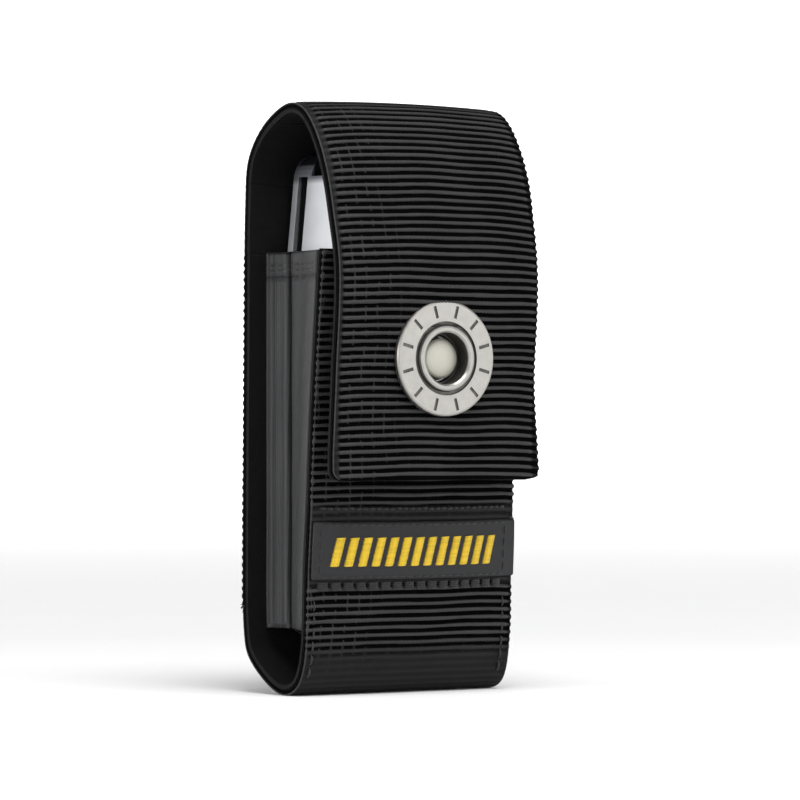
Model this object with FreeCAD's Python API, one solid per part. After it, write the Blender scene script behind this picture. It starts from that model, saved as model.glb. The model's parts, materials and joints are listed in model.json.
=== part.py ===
import FreeCAD, Part
import math
import os

os.makedirs("parts", exist_ok=True)

Vector = FreeCAD.Vector

# ---------------------------------------------------------------------------
# Belt sheath: one webbing strap that runs up the back, over the top as a flap
# and down the front, and below as a pouch. Millimetres. Origin under the
# middle of the sheath, +Z up, the snap faces -Y, the belt loop faces +Y.
# "Depth" is measured forward from the outer face of the back strap.
# ---------------------------------------------------------------------------
# the tool's own size drives the sheath: each sheath size is the tool plus an allowance
tool_length = 101.2
tool_width = 36.0
tool_thickness = 17.2
height_allowance = 24.4
flap_slack = 12.54
pouch_slack = 6.74
back_width_allowance = 16.4
flap_width_allowance = 14.0
front_width_allowance = 12.8
mouth_below_tool_end = 20.7
webbing_thickness = 1.8
lining_thickness = 0.75
layer_gap = 0.08
strap_thickness = webbing_thickness + layer_gap + lining_thickness
sheath_height = tool_length + height_allowance
flap_depth = tool_thickness + 2 * strap_thickness + flap_slack
pouch_depth = tool_thickness + 2 * strap_thickness + pouch_slack
back_width = tool_width + back_width_allowance
flap_width = tool_width + flap_width_allowance
front_width = tool_width + front_width_allowance
tool_bottom_height = 13.0
tool_back_clearance = 0.87
lining_margin = 0.4
flap_crown = 2.0
flap_top_crown = 0.6
front_crown = 2.4
hinge_above_mouth = 2.5
pouch_mouth_height = tool_bottom_height + tool_length - mouth_below_tool_end
flap_hinge_height = pouch_mouth_height + hinge_above_mouth
flap_corner_radius = 4.0
back_fold_height = 20.0
segment_gap = 0.3
grid_step = 1.6

# shares of the flap depth and drops below the top of the arch
arch_shape = [
    (0.0, 12.6),
    (0.010, 12.0),
    (0.069, 7.8),
    (0.180, 3.9),
    (0.309, 1.3),
    (0.460, 0.0),
    (0.597, 1.3),
    (0.697, 4.4),
    (0.766, 7.8),
    (0.823, 11.6),
    (0.883, 17.2),
    (0.940, 25.2),
    (0.989, 33.0),
    (1.000, 40.0),
    (0.986, 48.6),
    (0.966, 56.6),
    (0.951, 70.6),
    (0.954, 78.6),
]
flap_bottom_height = sheath_height - arch_shape[-1][1]
# shares of the arch shape at which the flap bends, counted along the list
flap_bend_shares = [0.069, 0.460, 0.823]
# outer face of the pouch: shares of its depth with heights low down, and shares of its
# mouth's height further up the front
front_fold_height = 14.0
pouch_under_shape = [
    (0.486, 0.0),
    (0.644, 2.2),
    (0.740, 8.0),
    (0.774, front_fold_height),
    (0.795, 25.0),
]
pouch_front_shape = [
    (0.842, 0.4278),
    (0.877, 0.5882),
    (0.938, 0.8021),
]
pouch_back_shape = [
    (0.0, 20.0),
    (0.014, 13.0),
    (0.034, 10.0),
    (0.110, 6.4),
    (0.202, 3.9),
    (0.298, 2.0),
    (0.400, 0.6),
]

# gusset: an elastic side panel pleated inwards against the tool
gusset_thickness = 1.0
gusset_bottom_height = 15.0
gusset_edge_setback = 0.9
gusset_back_clearance = 0.9
gusset_front_clearance = 1.0
gusset_tool_clearance = 0.55

# woven label band across the pouch front
label_thickness = 0.7
label_bottom_height = 25.8
label_height = 11.8
label_margin = 0.6

# belt loop on the back
loop_width = 38.0
loop_thickness = 1.8
loop_opening = 5.2
loop_bottom_height = 24.0
loop_height = 66.0
loop_tab = 7.0
loop_ramp = 4.5
loop_bend_radius = 1.2
sewn_gap = 0.1

# snap fastener
snap_above_flap_end = 24.2
ring_diameter = 24.0
ring_thickness = 1.25
ring_rim_radius = 0.45
ring_seat_sink = 0.35
ring_groove_width = 0.75
ring_groove_depth = 0.5
ring_notch_count = 12
ring_notch_width = 0.7
ring_notch_length = 2.6
ring_notch_depth = 0.2
eyelet_lip_diameter = 13.8
eyelet_bore = 10.8
eyelet_wall = 0.65
eyelet_lip_height = 0.55
socket_diameter = 13.6
socket_depth = 2.1
socket_bore = 9.0
spring_wire = 0.7
stud_head_diameter = 8.4
stud_neck_diameter = 6.4
stud_base_diameter = 11.5
stud_base_thickness = 0.7
stud_sink = 1.3
stud_rivet_diameter = 10.0
stud_rivet_thickness = 0.7
rivet_shank_diameter = 3.6
hole_clearance = 0.15
snap_seat_clearance = 0.03

# multi tool, closed, pivot end up
handle_gap = 1.2
handle_corner_radius = 6.0
handle_top_radius = 5.4
handle_taper_below_end = 25.2
handle_taper = 2.0
web_top_below_end = 4.8
rear_wall = 2.0
knife_slot = 3.4
middle_wall = 1.4
front_wall = 1.6
outer_web = 1.4
slot_floor_offset = 6.8
handle_pivot_offset = 9.0
handle_pivot_below_end = 7.8
plier_pivot_below_end = 23.2
axle_offset = 12.0
axle_height = 8.0
leg_radius = 5.0
leg_half_width = 3.9
jaw_disc_radius = 7.2
jaw_length = 45.0
jaw_root_half_width = 6.8
jaw_tip_half_width = 2.3
jaw_gap = 0.3
disc_clearance = 0.35
layer_clearance = 0.3
pivot_pin_diameter = 4.4
plier_pin_diameter = 6.0
axle_diameter = 3.6
pin_clearance = 0.05
pin_head_diameter = 7.0
pin_head_sink = 0.6
implement_gap = 0.25
implement_head_radius = 4.3
knife_length = 74.0
saw_length = 72.0
knife_thickness = 2.9
edge_bevel = 1.1


# ---------------------------------------------------------------------------
# small helpers
# ---------------------------------------------------------------------------
def smooth_curve(points):
    """Spline through (depth, height) points, parametrised by chord length."""
    vectors = []
    lengths = []
    total = 0.0
    for depth, height in points:
        vector = Vector(0, depth, height)
        if vectors:
            total += (vector - vectors[-1]).Length
        vectors.append(vector)
        lengths.append(total)
    curve = Part.BSplineCurve()
    curve.interpolate(Points=vectors, Parameters=lengths)
    return curve


def curve_place(curve, parameter):
    """Point and outward normal of a profile curve."""
    point = curve.value(parameter)
    tangent = curve.tangent(parameter)[0]
    outward = Vector(0, -tangent.z, tangent.y)
    return point, outward


def parameter_at(curve, depth, height):
    return curve.parameter(Vector(0, depth, height))


def ease(value, start, end):
    share = (value - start) / (end - start)
    share = min(max(share, 0.0), 1.0)
    return share * share * (3.0 - 2.0 * share)


def world(x, depth, height):
    return Vector(x, depth_shift - depth, height)


def solid_between(outer_grid, inner_grid):
    """Closed solid between two grids of points with the same layout."""
    outer = Part.BSplineSurface()
    outer.interpolate(outer_grid)
    inner = Part.BSplineSurface()
    inner.interpolate(inner_grid)
    faces = [outer.toShape(), inner.toShape()]
    bounds_outer = outer.bounds()
    bounds_inner = inner.bounds()
    for index in (0, 1):
        edge_outer = outer.uIso(bounds_outer[index]).toShape()
        edge_inner = inner.uIso(bounds_inner[index]).toShape()
        faces.append(Part.makeRuledSurface(edge_outer, edge_inner))
    for index in (2, 3):
        edge_outer = outer.vIso(bounds_outer[index]).toShape()
        edge_inner = inner.vIso(bounds_inner[index]).toShape()
        faces.append(Part.makeRuledSurface(edge_outer, edge_inner))
    shell = Part.makeShell(faces)
    shell.sewShape()
    solid = Part.makeSolid(shell)
    if solid.Volume < 0:
        solid.reverse()
    return solid


def strap_solid(curve, start, end, half_width, crown, top, under, margin=0.0):
    """Piece of strap along a profile curve, between two offsets inwards.

    half_width is the strap's own; margin makes a piece that much narrower.
    """
    rows = max(6, int(round((end - start) / grid_step)))
    columns = 7
    outer_grid = []
    inner_grid = []
    for row in range(rows + 1):
        parameter = start + (end - start) * row / rows
        point, outward = curve_place(curve, parameter)
        outer_row = []
        inner_row = []
        for column in range(columns):
            across = -1.0 + 2.0 * column / (columns - 1)
            x = across * (half_width(parameter) - margin)
            share = x / half_width(parameter)
            rise = crown(parameter) * (1.0 - share * share)
            high = point + outward * (rise - top)
            low = point + outward * (rise - under)
            outer_row.append(world(x, high.y, high.z))
            inner_row.append(world(x, low.y, low.z))
        outer_grid.append(outer_row)
        inner_grid.append(inner_row)
    return solid_between(outer_grid, inner_grid)


def disc(x, depth_back, depth_front, height, radius):
    """Cylinder lying along the depth direction."""
    length = depth_front - depth_back
    return Part.makeCylinder(radius, length, world(x, depth_back, height), Vector(0, -1, 0))


def washer(x, depth_back, depth_front, height, outer_radius, inner_radius):
    solid = disc(x, depth_back, depth_front, height, outer_radius)
    return solid.cut(disc(x, depth_back - 1, depth_front + 1, height, inner_radius))


def turned(x, height, profile):
    """Solid of revolution about a line along the depth direction."""
    points = []
    for radius, depth in profile:
        points.append(world(x + radius, depth, height))
    points.append(points[0])
    face = Part.Face(Part.makePolygon(points))
    return face.revolve(world(x, 0, height), Vector(0, 1, 0), 360)


def plate(points, depth_back, depth_front):
    """Flat piece with an outline in (x, height), thick along the depth."""
    wire = []
    for x, height in points:
        wire.append(world(x, depth_back, height))
    wire.append(wire[0])
    face = Part.Face(Part.makePolygon(wire))
    return face.extrude(Vector(0, depth_back - depth_front, 0))


def arc_points(x, height, radius, start_angle, end_angle, steps):
    points = []
    for step in range(steps + 1):
        angle = math.radians(start_angle + (end_angle - start_angle) * step / steps)
        points.append((x + radius * math.cos(angle), height + radius * math.sin(angle)))
    return points


def mirrored(solid):
    return solid.mirror(Vector(0, 0, 0), Vector(1, 0, 0))


def cut_all(solid, cutters):
    for cutter in cutters:
        solid = solid.cut(cutter)
    return solid


def save(name, solid):
    shape = solid.removeSplitter()
    if len(shape.Solids) == 1:
        shape = shape.Solids[0]
    if not shape.isValid() or shape.Volume <= 0:
        raise ValueError(name + " is not a valid solid")
    if len(shape.Solids) != 1:
        raise ValueError(name + " is not one solid")
    shape.exportStep("parts/" + name + ".step")
    print(name, round(shape.Volume, 1))


# ---------------------------------------------------------------------------
# profile curves and the places worked out from them
# ---------------------------------------------------------------------------
tool_back_depth = strap_thickness + tool_back_clearance
snap_height = flap_bottom_height + snap_above_flap_end

flap_points = [(0.0, flap_hinge_height - 20.0), (0.0, flap_hinge_height), (0.0, flap_hinge_height + 9.0)]
for share, drop in arch_shape[1:]:
    flap_points.append((share * flap_depth, sheath_height - drop))
flap_curve = smooth_curve(flap_points)

# both profiles run the same way round: up the back, over, and down the front;
# down the front of the pouch, round its bottom and up the back
pouch_points = [(pouch_depth, pouch_mouth_height)]
for share, height_share in reversed(pouch_front_shape):
    pouch_points.append((share * pouch_depth, height_share * pouch_mouth_height))
for share, height in reversed(pouch_under_shape):
    pouch_points.append((share * pouch_depth, height))
for share, height in reversed(pouch_back_shape):
    pouch_points.append((share * pouch_depth, height))
pouch_points.extend([(0.0, 30.0), (0.0, 60.0), (0.0, flap_hinge_height)])
pouch_curve = smooth_curve(pouch_points)

hinge_parameter = parameter_at(flap_curve, 0.0, flap_hinge_height)
bend_parameters = []
for share, drop in arch_shape:
    if share in flap_bend_shares:
        bend_parameters.append(parameter_at(flap_curve, share * flap_depth, sheath_height - drop))
flap_end_parameter = flap_curve.LastParameter
apex_parameter = bend_parameters[1]
brow_parameter = bend_parameters[2]


def flap_half_width(parameter):
    share = ease(parameter, hinge_parameter, apex_parameter)
    return 0.5 * (back_width + (flap_width - back_width) * share)


def flap_rise(parameter):
    first = flap_top_crown * ease(parameter, hinge_parameter, apex_parameter)
    second = (flap_crown - flap_top_crown) * ease(parameter, apex_parameter, brow_parameter + 14.0)
    return first + second


back_fold_parameter = parameter_at(pouch_curve, 0.0, back_fold_height)
front_fold_parameter = parameter_at(pouch_curve, 0.774 * pouch_depth, front_fold_height)
bottom_parameter = parameter_at(pouch_curve, 0.486 * pouch_depth, 0.0)


def pouch_half_width(parameter):
    share = ease(parameter, front_fold_parameter, back_fold_parameter)
    return 0.5 * (front_width + (back_width - front_width) * share)


def pouch_rise(parameter):
    return front_crown * (1.0 - ease(parameter, front_fold_parameter - 12.0, bottom_parameter))


def height_parameter(curve, height, low, high):
    """Parameter where a falling curve passes a height."""
    for step in range(60):
        middle = 0.5 * (low + high)
        if curve.value(middle).z > height:
            low = middle
        else:
            high = middle
    return 0.5 * (low + high)


def pouch_back_depth(height):
    """Depth of the pouch's outer face at the back, at a height."""
    low = bottom_parameter
    high = pouch_curve.LastParameter
    for step in range(60):
        middle = 0.5 * (low + high)
        if pouch_curve.value(middle).z < height:
            low = middle
        else:
            high = middle
    return pouch_curve.value(low).y


def pouch_front_parameter(height):
    return height_parameter(pouch_curve, height, pouch_curve.FirstParameter, front_fold_parameter + 6.0)


snap_parameter = height_parameter(flap_curve, snap_height, brow_parameter + 20.0, flap_end_parameter)
snap_face_depth = flap_curve.value(snap_parameter).y + flap_rise(snap_parameter)
ring_back_depth = snap_face_depth - ring_seat_sink
ring_front_depth = ring_back_depth + ring_thickness
ring_lip_depth = ring_front_depth + eyelet_lip_height
loop_reach = loop_opening + loop_thickness
depth_shift = 0.5 * (ring_lip_depth - loop_reach)
flap_inner_depth = snap_face_depth - strap_thickness

stud_parameter = pouch_front_parameter(snap_height)
front_face_depth = pouch_curve.value(stud_parameter).y + pouch_rise(stud_parameter)


# ---------------------------------------------------------------------------
# sheath
# ---------------------------------------------------------------------------
def pouch_strap(start, end):
    return strap_solid(pouch_curve, start, end, pouch_half_width, pouch_rise, 0.0, webbing_thickness)


def make_sheath_back():
    return pouch_strap(back_fold_parameter, pouch_curve.LastParameter)


def make_sheath_bottom():
    return pouch_strap(front_fold_parameter, back_fold_parameter)


def make_sheath_front():
    front = pouch_strap(pouch_curve.FirstParameter, front_fold_parameter)
    hole = disc(0, 0, flap_depth, snap_height, 0.5 * rivet_shank_diameter + hole_clearance)
    seat = disc(0, front_face_depth - 0.25, flap_depth, snap_height, 0.5 * stud_base_diameter + 0.2)
    return cut_all(front, [hole, seat])


def make_sheath_lining():
    top = webbing_thickness + layer_gap
    lining = strap_solid(
        pouch_curve,
        pouch_curve.FirstParameter,
        pouch_curve.LastParameter,
        pouch_half_width,
        pouch_rise,
        top,
        strap_thickness,
        lining_margin,
    )
    inner = front_face_depth - strap_thickness
    hole = disc(0, pouch_depth * 0.5, flap_depth, snap_height, 0.5 * rivet_shank_diameter + hole_clearance)
    seat = disc(0, pouch_depth * 0.5, inner, snap_height, 0.5 * stud_rivet_diameter + 0.2)
    return cut_all(lining, [hole, seat])


def flap_piece(start, end, top, under):
    return strap_solid(flap_curve, start, end, flap_half_width, flap_rise, top, under)


def make_flap_rear():
    start = hinge_parameter + segment_gap
    return flap_piece(start, bend_parameters[0] - 0.5 * segment_gap, 0.0, strap_thickness)


def make_flap_top():
    start = bend_parameters[0] + 0.5 * segment_gap
    return flap_piece(start, apex_parameter - 0.5 * segment_gap, 0.0, strap_thickness)


def make_flap_brow():
    start = apex_parameter + 0.5 * segment_gap
    return flap_piece(start, brow_parameter - 0.5 * segment_gap, 0.0, strap_thickness)


def flap_corner_cutters():
    """Corner blocks with a round side, for the two lower flap corners."""
    half = 0.5 * flap_width
    radius = flap_corner_radius
    points = [(half + 2, flap_bottom_height - 2), (half + 2, flap_bottom_height + radius)]
    points.append((half, flap_bottom_height + radius))
    centre_x = half - radius
    centre_height = flap_bottom_height + radius
    points.extend(arc_points(centre_x, centre_height, radius, 0, -90, 10)[1:])
    points.append((centre_x, flap_bottom_height - 2))
    right = plate(points, 0.5 * flap_depth, flap_depth + 10)
    return [right, mirrored(right)]


def make_flap_front():
    start = brow_parameter + 0.5 * segment_gap
    front = flap_piece(start, flap_end_parameter, 0.0, webbing_thickness)
    seat = disc(0, ring_back_depth, flap_depth + 20, snap_height, 0.5 * ring_diameter + 0.2)
    radius = 0.5 * eyelet_bore + eyelet_wall + hole_clearance
    hole = disc(0, 0.5 * flap_depth, flap_depth + 20, snap_height, radius)
    return cut_all(front, flap_corner_cutters() + [seat, hole])


def make_flap_lining():
    start = brow_parameter + 0.5 * segment_gap
    top = webbing_thickness + layer_gap
    lining = flap_piece(start, flap_end_parameter, top, strap_thickness)
    radius = 0.5 * eyelet_bore + eyelet_wall + hole_clearance
    hole = disc(0, 0.5 * flap_depth, flap_depth + 20, snap_height, radius)
    seat = disc(0, 0.5 * flap_depth, flap_inner_depth, snap_height, 0.5 * socket_diameter + 0.2)
    return cut_all(lining, flap_corner_cutters() + [hole, seat])


def gusset_section(height):
    """Centre line of the pleated side panel at a height, as (x, depth)."""
    parameter = pouch_front_parameter(height)
    front_depth = pouch_curve.value(parameter).y - strap_thickness - gusset_front_clearance
    back_x = 0.5 * back_width - gusset_edge_setback
    front_x = 0.5 * front_width - gusset_edge_setback
    crease_x = 0.5 * tool_width + gusset_tool_clearance + 0.5 * gusset_thickness
    back_depth = pouch_back_depth(height) + strap_thickness + gusset_back_clearance
    crease_depth = back_depth + 5.5
    return [
        (back_x, back_depth),
        (0.72 * back_x + 0.28 * crease_x, back_depth + 0.02),
        (0.45 * back_x + 0.55 * crease_x, back_depth + 0.4),
        (crease_x + 0.9, 0.5 * (back_depth + crease_depth) - 0.3),
        (crease_x, crease_depth),
        (0.7 * crease_x + 0.3 * front_x, crease_depth + 0.33 * (front_depth - crease_depth)),
        (0.3 * crease_x + 0.7 * front_x, crease_depth + 0.70 * (front_depth - crease_depth)),
        (front_x, front_depth),
    ]


def gusset_wire(height):
    """Closed outline of the side panel sheet at a height."""
    vectors = []
    lengths = []
    total = 0.0
    for x, depth in gusset_section(height):
        vector = Vector(-x, depth, 0)
        if vectors:
            total += (vector - vectors[-1]).Length
        vectors.append(vector)
        lengths.append(total)
    section = Part.BSplineCurve()
    section.interpolate(Points=vectors, Parameters=lengths)
    columns = 12
    outer = []
    inner = []
    for column in range(columns + 1):
        parameter = total * column / columns
        point = section.value(parameter)
        tangent = section.tangent(parameter)[0]
        side = Vector(-tangent.y, tangent.x, 0) * (0.5 * gusset_thickness)
        outer.append(world(point.x + side.x, point.y + side.y, height))
        inner.append(world(point.x - side.x, point.y - side.y, height))
    outer_curve = Part.BSplineCurve()
    outer_curve.interpolate(outer)
    inner_curve = Part.BSplineCurve()
    inner_curve.interpolate(list(reversed(inner)))
    edges = [
        outer_curve.toShape(),
        Part.makeLine(outer[-1], inner[-1]),
        inner_curve.toShape(),
        Part.makeLine(inner[0], outer[0]),
    ]
    return Part.Wire(edges)


def make_gusset_left():
    rows = 6
    wires = []
    for row in range(rows + 1):
        share = row / rows
        height = gusset_bottom_height + share * (pouch_mouth_height - gusset_bottom_height)
        wires.append(gusset_wire(height))
    return Part.makeLoft(wires, True, False)


def make_label_band():
    end = pouch_front_parameter(label_bottom_height)
    return strap_solid(
        pouch_curve,
        end - label_height,
        end,
        pouch_half_width,
        pouch_rise,
        -layer_gap - label_thickness,
        -layer_gap,
        label_margin,
    )


def make_belt_loop():
    near = -sewn_gap
    far = -sewn_gap - loop_thickness
    near_out = -loop_opening
    far_out = -loop_reach
    low = loop_bottom_height
    high = loop_bottom_height + loop_height
    tab = loop_tab
    ramp = loop_ramp
    outline = [
        (near, low),
        (far, low),
        (far, low + tab - 0.8),
        (far_out, low + tab + ramp - 0.8),
        (far_out, high - tab - ramp + 0.8),
        (far, high - tab + 0.8),
        (far, high),
        (near, high),
        (near, high - tab),
        (near_out, high - tab - ramp),
        (near_out, low + tab + ramp),
        (near, low + tab),
    ]
    points = []
    for depth, height in outline:
        points.append(world(-0.5 * loop_width, depth, height))
    points.append(points[0])
    loop = Part.Face(Part.makePolygon(points)).extrude(Vector(loop_width, 0, 0))
    bends = []
    for edge in loop.Edges:
        across = abs(edge.Vertexes[0].X - edge.Vertexes[-1].X)
        height = edge.Vertexes[0].Z
        if across > loop_width - 0.1 and low + 0.1 < height < high - 0.1:
            bends.append(edge)
    return loop.makeFillet(loop_bend_radius, bends)


# ---------------------------------------------------------------------------
# snap fastener
# ---------------------------------------------------------------------------
def make_snap_ring():
    outer = 0.5 * ring_diameter
    inner = 0.5 * eyelet_bore + eyelet_wall + snap_seat_clearance
    back = ring_back_depth + snap_seat_clearance
    front = ring_front_depth
    bevel = ring_rim_radius
    groove = 0.5 * eyelet_lip_diameter + ring_groove_width
    profile = [
        (inner, back),
        (outer, back),
        (outer, front - bevel),
        (outer - 0.3 * bevel, front - 0.3 * bevel),
        (outer - bevel, front),
        (groove, front),
        (groove, front - ring_groove_depth),
        (inner, front - ring_groove_depth),
    ]
    ring = turned(0, snap_height, profile)
    middle = 0.5 * (outer + groove)
    notches = []
    for index in range(ring_notch_count):
        corner = world(-0.5 * ring_notch_width, front + 1, snap_height + middle - 0.5 * ring_notch_length)
        notch = Part.makeBox(ring_notch_width, 1 + ring_notch_depth, ring_notch_length, corner)
        turn = 360.0 * (index + 0.5) / ring_notch_count
        notch.rotate(world(0, 0, snap_height), Vector(0, 1, 0), turn)
        notches.append(notch)
    return cut_all(ring, notches)


def make_snap_eyelet():
    inner = 0.5 * eyelet_bore
    outer = inner + eyelet_wall
    lip = 0.5 * eyelet_lip_diameter
    back = flap_inner_depth - snap_seat_clearance
    front = ring_front_depth - ring_groove_depth + snap_seat_clearance
    top = ring_lip_depth
    profile = [
        (inner, back),
        (outer, back),
        (outer, front),
        (lip, front),
        (lip - 0.25, top - 0.12),
        (lip - 0.6, top),
        (inner + 0.35, top),
        (inner, top - 0.3),
    ]
    return turned(0, snap_height, profile)


def make_snap_socket():
    outer = 0.5 * socket_diameter
    bore = 0.5 * socket_bore
    groove = bore + 0.55
    front = flap_inner_depth - 2 * snap_seat_clearance
    back = front - socket_depth
    profile = [
        (bore, back),
        (outer - 0.5, back),
        (outer, back + 0.6),
        (outer, front),
        (groove, front),
        (groove, back + 0.6),
        (bore, back + 0.6),
    ]
    return turned(0, snap_height, profile)


def make_snap_spring():
    radius = 0.5 * socket_bore + 0.5 - 0.5 * spring_wire
    middle = flap_inner_depth - 0.5 * socket_depth - 0.1
    ring = Part.makeTorus(radius, 0.5 * spring_wire, world(0, middle, snap_height), Vector(0, 1, 0))
    gap = Part.makeBox(2.0, 4.0, 8.0, world(-1.0, middle + 2.0, snap_height))
    return ring.cut(gap)


def make_snap_stud():
    base = front_face_depth - 0.25 + snap_seat_clearance
    head = 0.5 * stud_head_diameter
    neck = 0.5 * stud_neck_diameter
    flange = 0.5 * stud_base_diameter
    bore = 0.5 * rivet_shank_diameter + snap_seat_clearance
    top = ring_front_depth - stud_sink
    profile = [
        (bore, base),
        (flange, base),
        (flange, base + 0.4),
        (neck + 0.5, base + stud_base_thickness),
        (neck, base + stud_base_thickness + 0.4),
        (neck, top - 2.3),
        (head, top - 1.6),
        (head, top - 1.1),
    ]
    for step in range(1, 7):
        angle = math.radians(15 * step)
        profile.append((head * math.cos(angle), top - 1.1 + 1.1 * math.sin(angle)))
    profile.append((0.0, top - 1.2))
    profile.append((bore, top - 1.2))
    return turned(0, snap_height, profile)


def make_stud_rivet():
    inner = front_face_depth - strap_thickness
    shank = 0.5 * rivet_shank_diameter
    outer = 0.5 * stud_rivet_diameter
    back = inner - stud_rivet_thickness
    top = ring_front_depth - stud_sink - 1.25
    profile = [
        (0.0, back),
        (outer - 0.4, back),
        (outer, inner - snap_seat_clearance - 0.25),
        (outer, inner - snap_seat_clearance),
        (shank, inner - snap_seat_clearance),
        (shank, top),
        (0.0, top),
    ]
    return turned(0, snap_height, profile)


# ---------------------------------------------------------------------------
# multi tool
# ---------------------------------------------------------------------------
half_tool = 0.5 * tool_width
handle_taper_height = tool_length - handle_taper_below_end
web_top_height = tool_length - web_top_below_end
handle_pivot_height = tool_length - handle_pivot_below_end
plier_pivot_height = tool_length - plier_pivot_below_end
jaw_tip_height = plier_pivot_height - jaw_length
knife_slot_start = rear_wall
knife_slot_end = rear_wall + knife_slot
channel_start = knife_slot_end + middle_wall
channel_end = tool_thickness - front_wall


def tool_plate(points, back, front):
    """Plate in the tool: heights above its lower end, depths from its back."""
    lifted = []
    for x, height in points:
        lifted.append((x, height + tool_bottom_height))
    return plate(lifted, tool_back_depth + back, tool_back_depth + front)


def tool_disc(x, back, front, height, radius):
    return disc(x, tool_back_depth + back, tool_back_depth + front, height + tool_bottom_height, radius)


def handle_outline():
    """Left handle seen from the front."""
    side = -half_tool
    inner = -0.5 * handle_gap
    radius = handle_corner_radius
    points = [(inner, 0.8), (inner - 0.8, 0.0)]
    points.extend(arc_points(side + radius, radius, radius, 270, 180, 8))
    points.append((side, handle_taper_height))
    top_side = side + handle_taper
    top = handle_top_radius
    points.extend(arc_points(top_side + top, tool_length - top, top, 180, 90, 8))
    points.extend(arc_points(inner - top, tool_length - top, top, 90, 0, 8))
    return points


def make_handle_left():
    handle = tool_plate(handle_outline(), 0.0, tool_thickness)
    side = -half_tool
    slot = [
        (side - 2, -2),
        (-slot_floor_offset, -2),
        (-slot_floor_offset, web_top_height),
        (side - 2, web_top_height),
    ]
    web = side + outer_web
    web_top = web + handle_taper * (web_top_height - handle_taper_height) / (
        tool_length - handle_top_radius - handle_taper_height
    )
    channel = [
        (web, -2),
        (web, handle_taper_height),
        (web_top, web_top_height),
        (side - 2, web_top_height),
        (side - 2, tool_length + 2),
        (2, tool_length + 2),
        (2, -2),
    ]
    cutters = [
        tool_plate(slot, knife_slot_start, knife_slot_end),
        tool_plate(channel, channel_start, channel_end),
    ]
    pin = 0.5 * pivot_pin_diameter + pin_clearance
    axle = 0.5 * axle_diameter + pin_clearance
    head = 0.5 * pin_head_diameter + pin_clearance
    cutters.append(tool_disc(-handle_pivot_offset, -1, tool_thickness + 1, handle_pivot_height, pin))
    cutters.append(tool_disc(-axle_offset, -1, tool_thickness + 1, axle_height, axle))
    for height, x in ((handle_pivot_height, -handle_pivot_offset), (axle_height, -axle_offset)):
        cutters.append(tool_disc(x, -1, pin_head_sink, height, head))
        cutters.append(tool_disc(x, tool_thickness - pin_head_sink, tool_thickness + 1, height, head))
    handle = cut_all(handle, cutters)
    return handle


def headed_pin(x, height, diameter, head_diameter):
    """Pin flush with both outer faces of a handle, with a wide head each end."""
    sink = pin_head_sink
    pin = tool_disc(x, sink, tool_thickness - sink, height, 0.5 * diameter)
    rear = tool_disc(x, 0.05, sink, height, 0.5 * head_diameter)
    front = tool_disc(x, tool_thickness - sink, tool_thickness - 0.05, height, 0.5 * head_diameter)
    return pin.fuse(rear).fuse(front)


def make_handle_pivot_pin_left():
    return headed_pin(-handle_pivot_offset, handle_pivot_height, pivot_pin_diameter, pin_head_diameter)


def make_implement_axle_left():
    return headed_pin(-axle_offset, axle_height, axle_diameter, pin_head_diameter)


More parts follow.
